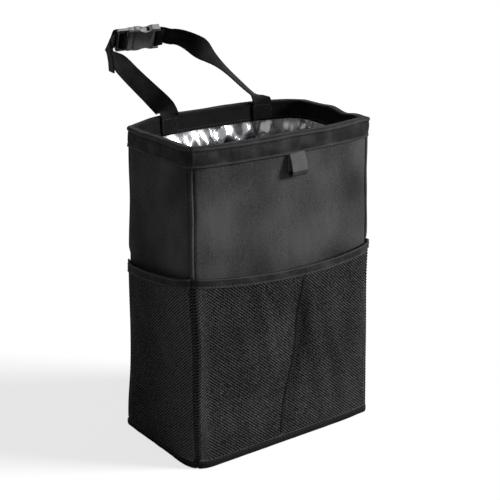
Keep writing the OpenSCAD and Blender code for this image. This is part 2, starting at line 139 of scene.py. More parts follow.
def creases(
    u: Points, v: Points, seed: int, shortest: float, longest: float, folds: int = 4, lean: float = math.pi
) -> Points:
    """Sharp creases of crumpled film: a sum of waves 1 - |sin|^0.8 whose lines are bent by soft waves.

    Args:
        u: Distance across the film in mm.
        v: Distance up the film in mm.
        seed: Seed of the directions, lengths and phases.
        shortest: Shortest distance between creases in mm.
        longest: Longest distance between creases in mm.
        folds: Number of families of creases.
        lean: Greatest angle in radians between a crease and the upright.

    Returns:
        The height of the film at each point, from about 0 to 1.
    """
    rng = np.random.default_rng(seed)
    total = np.zeros(np.broadcast(u, v).shape)
    for k in range(folds):
        length, turn, phase = rng.uniform(shortest, longest), rng.uniform(-lean, lean), rng.uniform(0, 1)
        bend = 0.3 * length * ripple(u, v, seed * 31 + k, 30, 90, 4)
        line = u * math.cos(turn) + v * math.sin(turn) + bend
        total += (1 - np.abs(np.sin(math.pi * (line / length + phase))) ** 0.8) * length
    return total / total.max()


def walked(path: Points) -> Points:
    """Distance along a path from its first point to each of its points."""
    return np.concatenate([[0], np.cumsum(np.linalg.norm(np.diff(path, axis=0), axis=1))])


def found(at: Points, walk: Points, rows: Points) -> Points:
    """Rows known at distances `walk` along a path, found at the distances `at` by straight lines."""
    return np.stack([np.interp(at, walk, rows[:, k]) for k in range(3)], -1)


def round_way(line: Points) -> Points:
    """Direction of a closed line at each of its points, from the two next to it."""
    return unit(np.roll(line, -1, axis=0) - np.roll(line, 1, axis=0))


def right_of(way: Points) -> Points:
    """The level direction to the right of a way, which is outwards for a way round the bag."""
    return np.stack([way[..., 1], -way[..., 0], 0 * way[..., 0]], -1)


# ---- meshes

def make_object(name: str, points: Points, faces: list[Points], uv: Points | None) -> Piece:
    """Makes a mesh object at the origin from arrays.

    Args:
        name: Name of the piece.
        points: Vertex positions in mm, one row each.
        faces: Arrays of vertex indices, one array for each number of corners.
        uv: A flat pattern position in mm for each corner of each face in order, or None.

    Returns:
        The object, linked to the scene and smooth but for its sharp edges.
    """
    mesh = bpy.data.meshes.new(name)
    loops = np.concatenate([f.ravel() for f in faces]).astype(np.int32)
    totals = np.concatenate([np.full(len(f), f.shape[1]) for f in faces]).astype(np.int32)
    mesh.vertices.add(len(points))
    mesh.vertices.foreach_set("co", (np.asarray(points, float) * MM).astype(np.float32).ravel())
    mesh.loops.add(len(loops))
    mesh.loops.foreach_set("vertex_index", loops)
    mesh.polygons.add(len(totals))
    mesh.polygons.foreach_set("loop_start", np.concatenate([[0], np.cumsum(totals)[:-1]]).astype(np.int32))
    mesh.polygons.foreach_set("use_smooth", np.ones(len(totals), bool))
    if uv is not None:
        layer = mesh.uv_layers.new(name="cloth")
        layer.data.foreach_set("uv", (uv * MM).astype(np.float32).ravel())
    mesh.update(calc_edges=True)
    mesh.validate()
    mesh.set_sharp_from_angle(angle=math.radians(50))
    obj = bpy.data.objects.new(name, mesh)
    bpy.context.scene.collection.objects.link(obj)
    return obj


def face_out(points: Points, quads: Points) -> bool:
    """Says whether a closed mesh of quads faces outwards, by the sign of its volume."""
    a, b, c, d = (points[quads[:, k]] for k in range(4))
    return float((a * np.cross(b, c)).sum() + (a * np.cross(c, d)).sum()) > 0


def loft(name: str, rings: Points, closed: bool = False) -> Piece:
    """A closed skin over sections carried along a path, with its pattern laid out by distance.

    Args:
        name: Name of the piece.
        rings: Sections in mm, shaped (sections, points, 3); each section is a closed loop.
        closed: Whether the last section joins the first; otherwise both ends get a cap.

    Returns:
        The object, whose pattern runs along the path in u and round the section in v.
    """
    m, n = rings.shape[:2]
    i, j = np.meshgrid(np.arange(m if closed else m - 1), np.arange(n), indexing="ij")
    i, j = i.ravel(), j.ravel()
    corner = ((i, j), (i, j + 1), (i + 1, j + 1), (i + 1, j))
    quads = np.stack([(a % m) * n + b % n for a, b in corner], 1)
    walk = np.linalg.norm(np.diff(np.concatenate([rings, rings[:1]]), axis=0), axis=2).mean(1)
    round_it = np.linalg.norm(np.diff(np.concatenate([rings, rings[:, :1]], 1), axis=1), axis=2).mean(0)
    along, across = np.concatenate([[0], np.cumsum(walk)]), np.concatenate([[0], np.cumsum(round_it)])
    uv = np.stack([np.stack([along[a], across[b]], 1) for a, b in corner], 1)
    if not closed:
        k = np.arange(n // 2 - 1)
        strip = np.stack([k, n - 1 - k, n - 2 - k, k + 1], 1)
        caps = np.concatenate([strip, strip[:, ::-1] + (m - 1) * n])
        quads = np.concatenate([quads, caps])
        flat = np.stack([np.zeros(n), across[:n]], 1)
        uv = np.concatenate([uv, flat[caps % n]])
    points = rings.reshape(-1, 3)
    if not face_out(points, quads):
        quads, uv = quads[:, ::-1], uv[:, ::-1]
    return make_object(name, points, [quads], uv.reshape(-1, 2))


def thick_sheet(name: str, outer: Points, inner: Points, quads: Points, flat: Points) -> Piece:
    """A sheet with thickness: two faces joined by a rim along every edge that one quad alone uses.

    Args:
        name: Name of the piece.
        outer: Points of the outer face in mm.
        inner: Points of the inner face, in the same order.
        quads: Faces of the outer side, as indices of its points.
        flat: Place of each point on the flat cloth in mm.

    Returns:
        The closed object.
    """
    n = len(outer)
    edges = np.concatenate([quads[:, [k, (k + 1) % 4]] for k in range(4)])
    _, first, uses = np.unique(np.sort(edges, 1), axis=0, return_index=True, return_counts=True)
    rim = edges[first[uses == 1]]
    faces = np.concatenate([
        quads, quads[:, ::-1] + n, np.stack([rim[:, 1], rim[:, 0], rim[:, 0] + n, rim[:, 1] + n], 1)
    ])
    points = np.concatenate([outer, inner])
    if not face_out(points, faces):
        faces = faces[:, ::-1]
    return make_object(name, points, [faces], flat[faces.ravel() % n])


def grid_quads(m: int, n: int) -> Points:
    """Quads of a grid of m by n points, numbered row after row."""
    i, j = np.meshgrid(np.arange(m - 1), np.arange(n - 1), indexing="ij")
    a = (i * n + j).ravel()
    return np.stack([a, a + n, a + n + 1, a + 1], 1)


def merged(obj: Piece) -> Piece:
    """Joins points closer than 0.01 mm to each other, and drops the faces that this flattens.

    Args:
        obj: The mesh object to clean.

    Returns:
        The same object.
    """
    mesh = bmesh.new()
    mesh.from_mesh(obj.data)
    bmesh.ops.remove_doubles(mesh, verts=mesh.verts, dist=0.01 * MM)
    bmesh.ops.dissolve_degenerate(mesh, edges=mesh.edges, dist=0.002 * MM)
    mesh.to_mesh(obj.data)
    mesh.free()
    return obj


def stitches(name: str, path: Points, normal: Points, pitch: float = 3.2, radius: float = 0.3) -> Piece:
    """A row of stitches: short thread humps that dive into the cloth at both ends.

    Each stitch is a tube of six-sided sections whose height over the cloth follows a half sine.

    Args:
        name: Name of the piece.
        path: The row's line on the cloth in mm.
        normal: Outward direction of the cloth at each point of the line.
        pitch: Distance from stitch to stitch in mm.
        radius: Radius of the thread in mm.

    Returns:
        The object that holds all the stitches.
    """
    steps, sides, half_length = 5, 6, 0.36
    walk = walked(path)
    count = max(int(walk[-1] / pitch), 1)
    t = np.linspace(-1, 1, steps)
    hump = np.cos(t * math.pi / 2)
    at = (np.arange(count)[:, None] + 0.5) * walk[-1] / count + t * pitch * half_length
    centre, out = found(at, walk, path), unit(found(at, walk, normal))
    side = unit(np.cross(unit(np.gradient(centre, axis=1)), out))
    centre = centre + out * (radius * (1.5 * hump - 0.9))[None, :, None]
    angle = (np.arange(sides) / sides * 2 * math.pi)[None, None, :, None]
    thin = radius * (0.45 + 0.55 * hump ** 0.5)[None, :, None, None]
    ring = centre[:, :, None] + thin * (np.cos(angle) * side[:, :, None] + np.sin(angle) * out[:, :, None])
    counts = (np.arange(k) for k in (count, steps - 1, sides))
    s, i, j = (a.ravel() for a in np.meshgrid(*counts, indexing="ij"))
    low, k = s * steps * sides + i * sides, (j + 1) % sides
    quads = np.stack([low + j, low + k, low + sides + k, low + sides + j], 1)
    first = np.arange(count)[:, None] * steps * sides + np.arange(sides)
    caps = np.concatenate([first[:, ::-1], first + (steps - 1) * sides])
    points = ring.reshape(-1, 3)
    if not face_out(points[:steps * sides], quads[:(steps - 1) * sides]):
        quads, caps = quads[:, ::-1], caps[:, ::-1]
    return make_object(name, points, [quads, caps], None)


# ---- finishes

def linear(code: str) -> tuple[float, float, float, float]:
    """Turns an sRGB hex colour such as "#3c3c3e" into linear red, green, blue and alpha."""
    parts = [int(code[k:k + 2], 16) / 255 for k in (1, 3, 5)]
    r, g, b = (c / 12.92 if c <= 0.04045 else ((c + 0.055) / 1.055) ** 2.4 for c in parts)
    return r, g, b, 1.0


def add_node(
    tree: Tree, kind: str, values: dict | None = None, links: dict | None = None, **settings: object
) -> Node:
    """Adds a node with its settings and links.

    Args:
        tree: The material's node tree.
        kind: Blender's name for the node.
        values: Values of inputs by name or number.
        links: Output sockets by the name or number of the input that they go to.
        **settings: The node's own settings.

    Returns:
        The new node.
    """
    node = tree.nodes.new(kind)
    for name, value in settings.items():
        setattr(node, name, value)
    for name, value in (values or {}).items():
        node.inputs[name].default_value = value
    for name, socket in (links or {}).items():
        tree.links.new(socket, node.inputs[name])
    return node


class Space(Enum):
    """Which coordinates a finish's pattern is laid out in."""

    OBJECT = "Object"
    CLOTH = "UV"


def coordinates(tree: Tree, space: Space, stretch: Vector = (1, 1, 1)) -> Socket:
    """Coordinates of a pattern in metres, multiplied by a factor in each direction."""
    source = add_node(tree, "ShaderNodeTexCoord").outputs[space.value]
    return add_node(tree, "ShaderNodeMapping", {"Scale": stretch}, {"Vector": source}).outputs[0]


def noise(tree: Tree, place: Socket, scale: float, detail: float, **inputs: float) -> Socket:
    """Noise by its number of lumps a metre and its detail; other inputs go by their own names."""
    values = {"Scale": scale, "Detail": detail, **inputs}
    return add_node(tree, "ShaderNodeTexNoise", values, {"Vector": place}).outputs["Fac"]


def bands(tree: Tree, cloth: Socket, period: float, across: str = "X", **inputs: float) -> Socket:
    """Bands a period in mm apart on the cloth; a Wave Texture has 20 radians a unit."""
    values = {"Scale": 2 * math.pi / (20 * period * MM), **inputs}
    wave = add_node(tree, "ShaderNodeTexWave", values, {"Vector": cloth}, bands_direction=across)
    return wave.outputs["Fac"]


def calculate(tree: Tree, operation: str, *terms: Socket | float) -> Socket:
    """The result of one of Blender's operations on sockets and plain numbers."""
    linked = {k: term for k, term in enumerate(terms) if isinstance(term, Socket)}
    values = {k: term for k, term in enumerate(terms) if k not in linked}
    return add_node(tree, "ShaderNodeMath", values, linked, operation=operation).outputs[0]


def ranged(
    tree: Tree, value: Socket, start: float, end: float, low: float = 0.0, high: float = 1.0, **settings: str
) -> Socket:
    """Brings a value from between start and end to between low and high, and holds it there."""
    values = {"From Min": start, "From Max": end, "To Min": low, "To Max": high}
    return add_node(tree, "ShaderNodeMapRange", values, {"Value": value}, **settings).outputs[0]


def mixed(tree: Tree, share: Socket, first: Node, second: Node) -> Node:
    """Mixes two shaders: the first one where the share is 0, the second where it is 1."""
    return add_node(tree, "ShaderNodeMixShader", None, {0: share, 1: first.outputs[0], 2: second.outputs[0]})


def empty_tree(owner: bpy.types.Material | bpy.types.World) -> Tree:
    """Gives a material or the world a node tree without nodes."""
    owner.use_nodes = True
    owner.node_tree.nodes.clear()
    return owner.node_tree


@dataclass(frozen=True)
class Finish:
    """What every finish has: a name, a colour and a plain Principled surface."""

    name: str
    colour: str
    roughness: float = 0.8
    specular: float = 0.5
    metallic: float = 0.0

    def material(self) -> bpy.types.Material:
        """The material of this finish, made once."""
        known = bpy.data.materials.get(self.name)
        if known:
            return known
        made = bpy.data.materials.new(self.name)
        tree = empty_tree(made)
        shader = add_node(tree, "ShaderNodeBsdfPrincipled", {
            "Base Color": linear(self.colour), "Roughness": self.roughness, "IOR": POLYMER_IOR,
            "Specular IOR Level": self.specular, "Metallic": self.metallic,
        })
        add_node(tree, "ShaderNodeOutputMaterial", links={"Surface": shader.outputs[0]})
        self.pattern(tree, shader)
        return made

    def pattern(self, tree: Tree, shader: Node) -> None:
        """Adds the finish's own colour variation and relief; the plain finish has none.

        Args:
            tree: The material's node tree.
            shader: The Principled surface.
        """

    def two_colours(
        self, tree: Tree, shader: Node, level: Socket, other: str, ends: tuple[float, float] = (0.0, 1.0)
    ) -> None:
        """Makes the colour go from the finish's own to another one.

        Args:
            tree: The material's node tree.
            shader: The Principled surface.
            level: The socket that says how far.
            other: The other colour.
            ends: Levels at which the own colour ends and the other one is reached.
        """
        ramp = add_node(tree, "ShaderNodeValToRGB", None, {"Fac": level})
        for stop, code, place in zip(ramp.color_ramp.elements, (self.colour, other), ends):
            stop.color, stop.position = linear(code), place
        tree.links.new(ramp.outputs[0], shader.inputs["Base Color"])

    def raise_surface(self, tree: Tree, shader: Node, height: Socket, strength: float, deep: float) -> None:
        """Bends the surface's shading by a height pattern of a strength and a depth in mm."""
        bend = add_node(
            tree, "ShaderNodeBump", {"Strength": strength, "Distance": deep * MM}, {"Height": height}
        )
        tree.links.new(bend.outputs[0], shader.inputs["Normal"])

    def dress(self, obj: Piece) -> Piece:
        """Gives the object this finish in place of any other."""
        obj.data.materials.clear()
        obj.data.materials.append(self.material())
        return obj

    def dress_part(self, obj: Piece, faces: Points) -> Piece:
        """Gives this finish to the faces marked true, beside the ones that the object has."""
        obj.data.materials.append(self.material())
        index = np.zeros(len(obj.data.polygons), np.int32)
        obj.data.polygons.foreach_get("material_index", index)
        index[:len(faces)][faces] = len(obj.data.materials) - 1
        obj.data.polygons.foreach_set("material_index", index)
        return obj


@dataclass(frozen=True)
class WovenCloth(Finish):
    """Polyester oxford: a dull plain weave whose fibres catch a little light, with soft blotches."""

    pale: str = "#4c4c4e"
    thread: float = 1.3
    relief: float = 0.25
    blotch: float = 21.0
    grain: float = 900.0

    def pattern(self, tree: Tree, shader: Node) -> None:
        """Crossed bands of thread raise the surface; blotches and grain make its colour paler."""
        cloth, place = coordinates(tree, Space.CLOTH), coordinates(tree, Space.OBJECT, (1, 1, 0.8))
        warp, weft = (bands(tree, cloth, self.thread, across, Distortion=0.4) for across in "XY")
        blotches = noise(tree, place, self.blotch, 1.5, Roughness=0.5)
        both = calculate(tree, "MULTIPLY_ADD", noise(tree, place, self.grain, 3.0), 0.6, blotches)
        self.two_colours(tree, shader, ranged(tree, both, 0.62, 0.98), self.pale)
        self.raise_surface(tree, shader, calculate(tree, "MULTIPLY", warp, weft), self.relief, 0.4)


@dataclass(frozen=True)
class RibbedTape(Finish):
    """Grosgrain tape and webbing: tight ribs across the strip, and fibres that show as pale specks."""

    pale: str = "#4a4a4a"
    rib: float = 1.6
    relief: float = 0.5
    speck: float = 900.0
    patch: float = 0.5

    def pattern(self, tree: Tree, shader: Node) -> None:
        """Bands across the strip raise ribs; fine noise scatters pale specks, more in some patches."""
        cloth = coordinates(tree, Space.CLOTH)
        ribs = bands(tree, cloth, self.rib, Distortion=0.6, Detail=1.0)
        rows = bands(tree, cloth, self.rib * 1.4, "Y")
        specks, patches = noise(tree, cloth, self.speck, 2.0, Roughness=0.7), noise(tree, cloth, 60.0, 2.0)
        both, middle = calculate(tree, "MULTIPLY_ADD", patches, self.patch, specks), 0.5 + self.patch / 2
        self.two_colours(tree, shader, ranged(tree, both, middle - 0.08, middle + 0.25), self.pale)
        self.raise_surface(tree, shader, calculate(tree, "MULTIPLY_ADD", rows, 0.4, ribs), self.relief, 0.35)


@dataclass(frozen=True)
class Knit(Finish):
    """Warp-knitted polyester net: smooth filament cords with a soft shine along them."""

    pale: str = "#4e4e50"
    corner: Vector = (-0.2, -0.0275, 0.0)
    stretch: Vector = (2, 0.5, 0)

    def pattern(self, tree: Tree, shader: Node) -> None:
        """Noise as fine as the loops moves the colour, and broader noise makes fuller and emptier patches.

        Near the front left corner the cords are painted paler, painted light where the net turns away from
        the lamp, to 17 mm from it on the front and four times as far on the left. The corner is given in the
        stretched coordinates.
        """
        place, plan = coordinates(tree, Space.OBJECT), coordinates(tree, Space.OBJECT, self.stretch)
        far = add_node(tree, "ShaderNodeVectorMath", {1: self.corner}, {0: plan}, operation="DISTANCE")
        # Painted light: paler cords within reach of the front left corner.
        painted_light_near_corner = ranged(tree, far.outputs["Value"], 0.01, 0.034, 0.24, 0.0)
        loops, patch = noise(tree, place, 600.0, 2.0), noise(tree, place, 18.0, 1.0)
        drawn = calculate(tree, "ADD", calculate(tree, "MULTIPLY_ADD", patch, 0.35, loops), painted_light_near_corner)
        self.two_colours(tree, shader, ranged(tree, drawn, 0.5, 1.15), self.pale)


@dataclass(frozen=True)
class Foil(Finish):
    """Aluminised film on thin foam: a creased half mirror, duller in places."""

    def pattern(self, tree: Tree, shader: Node) -> None:
        """Noise of two sizes crumples the film and dulls it in places."""
        place = coordinates(tree, Space.OBJECT, (1, 1, 0.2))
        dull = ranged(tree, noise(tree, place, 45.0, 3.0), 0.35, 0.65, 0.14, 0.3)
        tree.links.new(dull, shader.inputs["Roughness"])
        fine = noise(tree, place, 110.0, 4.0, Roughness=0.6, Distortion=1.2)
        self.raise_surface(tree, shader, fine, 0.3, 1.4)


@dataclass(frozen=True)
class Moulded(Finish):
    """Injection-moulded acetal: satin, with a faint spark-eroded grain and an uneven gloss."""

    grain: float = 1400.0

    def pattern(self, tree: Tree, shader: Node) -> None:
        """Fine noise roughens the moulded face, and broader noise varies its gloss."""
        place = coordinates(tree, Space.OBJECT)
        glossy, dull = self.roughness - 0.06, self.roughness + 0.08
        gloss = ranged(tree, noise(tree, place, 160.0, 2.0), 0.3, 0.7, glossy, dull)
        tree.links.new(gloss, shader.inputs["Roughness"])
        self.raise_surface(tree, shader, noise(tree, place, self.grain, 2.0), 0.15, 0.08)


@dataclass(frozen=True)
class Greyboard(Finish):
    """Pressed fibre board: pale grey-brown, dull, with flecks of fibre."""

    fleck: str = "#a9a496"

    def pattern(self, tree: Tree, shader: Node) -> None:
        """Noise at fibre size mixes the flecks into the board's colour."""
        fibre = noise(tree, coordinates(tree, Space.OBJECT), 500.0, 4.0, Roughness=0.7)
        self.two_colours(tree, shader, fibre, self.fleck, (0.45, 0.65))


# Oxford cloth gives a matt charcoal face with soft, pale blotches and a fine grain.
OXFORD = WovenCloth("polyester_oxford", "#2c2c2d", 0.9, specular=0.1, pale="#4a4a4b")
# Behind the nets the cloth lies in their shade, so that their holes look black.
SHADED = WovenCloth("polyester_oxford_in_shade", "#151515", 0.95, specular=0.03, pale="#1e1e1e")
# The base cloth is coated and darker; it shows only from below.
BASE_CLOTH = WovenCloth("coated_base_cloth", "#242425", 0.8, specular=0.15, pale="#2f2f31")
# Folded binding tape gives a darker, finely ribbed line between wall and foil.
BINDING = RibbedTape(
    "polyester_binding_tape", "#1b1b1c", 0.8, specular=0.1, pale="#353536", rib=1.2, relief=0.25, patch=1.3
)
# Folded and sewn edges of the tape are painted paler, a painted highlight that shows them as thin pale lines.
TAPE_HIGHLIGHT = RibbedTape(
    "polyester_binding_painted_highlight", "#2a2a2b", 0.75, specular=0.15, pale="#454546", rib=1.2, relief=0.3
)
# Inside the rim the tape is nearly black.
BAND_INSIDE = RibbedTape(
    "polyester_binding_inside", "#121213", 0.85, specular=0.06, pale="#1e1e1f", rib=1.2, relief=0.2
)
# The base's edge is coated tape, nearly black.
FOOT_TAPE = RibbedTape(
    "coated_edge_tape", "#0c0c0d", 0.7, specular=0.08, pale="#161617", rib=1.4, relief=0.2
)
# The net's cords catch the light as fine pale lines over the dark wall behind.
NET = Knit("warp_knitted_net", "#1c1c1c", 0.7, specular=0.1, pale="#5a5a5b")
# The net's side edges are coloured near black, which makes the thin dark line at the corner.
NET_EDGE = Finish("dark_net_edge", "#161617", 0.9, specular=0.03)
# Strap webbing is dense and nearly black, with pale specks where fibres catch the light.
STRAP_WEBBING = RibbedTape(
    "polypropylene_webbing", "#090909", 0.75, specular=0.05, pale="#232324", rib=1.7, relief=0.6, patch=0.8
)
# The pull tab is a paler twill webbing.
TAB_WEBBING = RibbedTape("twill_tape", "#4f4f51", 0.85, specular=0.15, pale="#646466", rib=1.0, relief=0.35)
# Where the tab's loop turns under, its twill is painted darker: the painted shade of the fold.
TAB_FOLD_SHADE = RibbedTape("twill_tape_fold_painted_shade", "#303031", 0.85, specular=0.1, pale="#424243", rib=1.0, relief=0.35)
# Thread a shade paler than the tape shows the seams as fine lines.
THREAD = Finish("polyester_thread", "#38383a", 0.6, specular=0.2)
# The seams of the dark edges are sewn with dark thread.
DARK_THREAD = Finish("dark_polyester_thread", "#19191a", 0.6, specular=0.2)
# The film's creases flash from near white to dark.
FOIL = Foil("aluminised_film", "#b4b5b7", 0.25, metallic=1.0)
# Satin acetal has small bright lines along its rounded edges.
ACETAL = Moulded("moulded_acetal", "#434345", 0.26)
# Faces of the mouldings that point upwards are painted paler: a painted highlight, the white room's
# reflection.
ACETAL_HIGHLIGHT = Moulded("acetal_painted_highlight", "#8d8d90", 0.22)
# Pressed fibre board gives the cut edges of the stiffeners a pale, dull grey.
BOARD = Greyboard("pressed_fibre_board", "#c9c5bb", 0.9, specular=0.2)


# ---- the bag's form

class Side(Enum):
    """The four walls, by the way they face."""

    FRONT = "front"
    BACK = "back"
    LEFT = "left"
    RIGHT = "right"

    @property
    def long(self) -> bool:
        """Whether this is the front or the back."""
        return self in (Side.FRONT, Side.BACK)


@dataclass(frozen=True)
class BagForm:
    """Outer form of the bag, in mm: a tapered box whose front and back bow out towards the rim."""

    height: float = 295
    base_w: float = 202
    base_d: float = 114
    top_w: float = 199
    top_d: float = 100
    front_bow: float = 7.5
    back_bow: float = 20
    corner: float = 5
    wall_z: float = 7.1
    band_z: float = 278
    layer_top: float = 291
    cloth: float = 1.6

    def half_w(self, z: Points) -> Points:
        """Half the width at height z, a straight line from base to rim."""
        return mix(self.base_w, self.top_w, z / self.height) / 2

    def half_d(self, z: Points) -> Points:
        """Half the depth at height z, a straight line from base to rim."""
        return mix(self.base_d, self.top_d, z / self.height) / 2

    def half(self, side: Side, z: Points) -> Points:
        """Half the width of a wall at height z, corners included."""
        return self.half_w(z) if side.long else self.half_d(z)

    def across(self, x: Points, z: Points) -> Points:
        """Share of the way from the middle of a wall to its edge."""
        return np.minimum(np.abs(x) / (self.half_w(z) - self.corner), 1)

    def front_y(self, x: Points, z: Points) -> Points:
        """Front face: bowed by a parabola across, growing with height to the power 1.5."""
        return -self.half_d(z) - self.front_bow * (z / self.height) ** 1.5 * (1 - self.across(x, z) ** 2)

    def back_y(self, x: Points, z: Points) -> Points:
        """Back face: bowed by a cubic across, growing with the square of the height."""
        return self.half_d(z) + self.back_bow * (z / self.height) ** 2 * (1 - self.across(x, z) ** 3)

    def around(
        self, section: Points, long_steps: int = 72, side_steps: int = 36, arc_steps: int = 6
    ) -> Points:
        """Carries a section of [outward distance, height] points round the bag, counter-clockwise.

        The four walls are joined by quarter circles whose radius is the corner's plus the distance.

        Args:
            section: Points of the section, shaped (points, 2).
            long_steps: Steps along the front and the back.
            side_steps: Steps along each side.
            arc_steps: Steps round each corner.

        Returns:
            The rings, shaped (stations, points, 3).
        """
        n, z = section[:, 0][None], section[:, 1][None]
        w, d, r = self.half_w(z), self.half_d(z), self.corner + n
        cx, cy = w - self.corner, d - self.corner
        t = np.linspace(-1, 1, long_steps + 1)[:, None]
        s = np.linspace(-1, 1, side_steps + 1)[:, None]
        a = (np.arange(1, arc_steps) / arc_steps * QUARTER)[:, None]

        def arc(sx: int, sy: int, start: float) -> list[Points]:
            """One corner's quarter circle."""
            return [sx * cx + r * np.cos(start + a), sy * cy + r * np.sin(start + a), z + 0 * a]

        parts = [
            [t * cx, self.front_y(t * cx, z) - n, z + 0 * t], arc(1, -1, -QUARTER),
            [w + n + 0 * s, s * cy, z + 0 * s], arc(1, 1, 0),
            [-t * cx, self.back_y(t * cx, z) + n, z + 0 * t], arc(-1, 1, QUARTER),
            [-w - n + 0 * s, -s * cy, z + 0 * s], arc(-1, -1, 2 * QUARTER),
        ]
        return np.concatenate([np.stack(part, -1) for part in parts])


FORM = BagForm()


def settled(points: Points) -> Points:
    """Gives the bag its soft stance, the same way for every piece of it, so that they stay together.

    Within `reach` of an upright edge the squares round the corner's centre become circles, by a share
    that is largest at the foot of the front left corner, small halfway up and, at the front left and
    back right, larger again at the rim. The sides are drawn in by half a sine wave from foot to rim,
    but for the back left edge, which swells out; walls swell and sink by soft ripples, and the back
    left corner spreads a little towards its foot, where the left and front sides bulge too.

    Args:
        points: Points of the square bag in mm.

    Returns:
        The points where the soft bag has them.
    """
    reach, waist, swell = 20.0, 0.8, 1.6
    x, y, z = points[..., 0], points[..., 1], points[..., 2]
    w, d = FORM.half_w(z), FORM.half_d(z)
    # Round corners: full share at the foot up to 5 mm and none from 60 mm, and the rim's from 215 mm on.
    ax, ay = np.abs(x) - (w - reach), np.abs(y) - (d - reach)
    foot_share, rim_share = np.where((x < 0) & (y < 0), 0.8, 0.0), np.where(x * y > 0, 0.45, 0.05)
    share = foot_share * smooth((60 - z) / 55) + 0.05 + rim_share * smooth((z - 215) / 75)
    circle = np.maximum(np.hypot(ax, ay), 1e-6)
    rounded = mix(1.0, np.maximum(ax, ay) / circle, np.minimum(share, 1))
    factor = np.where((ax > 0) & (ay > 0), rounded, 1.0)
    x = np.where(ax > 0, np.sign(x) * (w - reach + ax * factor), x)
    y = np.where(ay > 0, np.sign(y) * (d - reach + ay * factor), y)
    # Waist and swell: between foot and rim band, on points near the side, front or back faces.
    between = smooth(z / 60) * smooth((FORM.band_z - z) / 60)
    at_x, at_y = smooth((np.abs(x) - w + 15) / 8), smooth((np.abs(y) - d + 15) / 8)
    drawn = waist * np.where(x < 0, 1 - 1.8 * smooth((y + 5) / 50), 1)
    soft = swell * between * ripple(y, z, 8, 90, 190, 5)
    pull = drawn * np.sin(np.clip(z / FORM.height, 0, 1) * math.pi) - soft
    dent = swell * between * ripple(x, z + 70 * np.sign(y), 4, 90, 210, 6)
    # Spread of the back left corner, and bulges of the left and front sides, towards the foot.
    flare = smooth((-x - w + 60) / 60) * smooth((y - d + 50) / 50) * smooth((120 - z) / 120)
    near_foot = smooth((70 - z) / 70)
    left = near_foot * smooth((-x - w + 40) / 40) * (1 - smooth((y - 15) / 40))
    front = near_foot * smooth((-y - d + 40) / 40) * (1 - smooth((x - 65) / 30))
    out_x = np.sign(x) * at_x * pull + 2.6 * flare + 2.2 * left
    return np.stack([x - out_x, y + np.sign(y) * at_y * dent + 3.2 * flare - 1.8 * front, z], -1)


def wall_point(side: Side, s: Points, z: Points, n: Points, edge: float = FORM.corner) -> Points:
    """A point n outside a wall's face, where s runs from -1 to 1 across it as seen from outside.

    Args:
        side: The wall.
        s: Place across the wall.
        z: Height in mm.
        n: Distance outside the face in mm.
        edge: Distance of s = 1 from the bag's corner in mm.

    Returns:
        The points in mm.
    """
    w, d = FORM.half_w(z), FORM.half_d(z)
    if side is Side.FRONT:
        x = s * (w - edge)
        return np.stack([x, FORM.front_y(x, z) - n, z + 0 * x], -1)
    if side is Side.BACK:
        x = -s * (w - edge)
        return np.stack([x, FORM.back_y(x, z) + n, z + 0 * x], -1)
    y = s * (d - edge)
    if side is Side.RIGHT:
        return np.stack([w + n + 0 * y, y, z + 0 * y], -1)
    return np.stack([-w - n + 0 * y, -y, z + 0 * y], -1)


def wall_grid(m: int, n: int, low: float, high: float) -> Run:
    """Places across a wall, from -1 to 1, and heights in mm of a grid of m by n points."""
    s, v = np.meshgrid(np.linspace(-1, 1, m), np.linspace(0, 1, n), indexing="ij")
    return s, mix(low, high, v)


def round_stitches(
    name: str, n: float, z: float, steps: tuple[int, int, int], outwards: int = 1, **thread: float
) -> Piece:
    """A row of stitches round the bag.

    Args:
        name: Name of the piece.
        n: Distance of the row outside the walls in mm.
        z: Its height in mm.
        steps: Steps along a long wall, along a side and round a corner.
        outwards: 1 where the row is seen from outside, -1 where it is seen from inside.
        **thread: Pitch and radius of the stitches, if they aren't the usual ones.

    Returns:
        The object that holds the stitches.
    """
    line = settled(FORM.around(np.array([[n, z]]), *steps)[:, 0])
    line = np.concatenate([line, line[:1]])
    return stitches(name, line, outwards * right_of(unit(np.gradient(line, axis=0))), **thread)


# ---- sub-assemblies

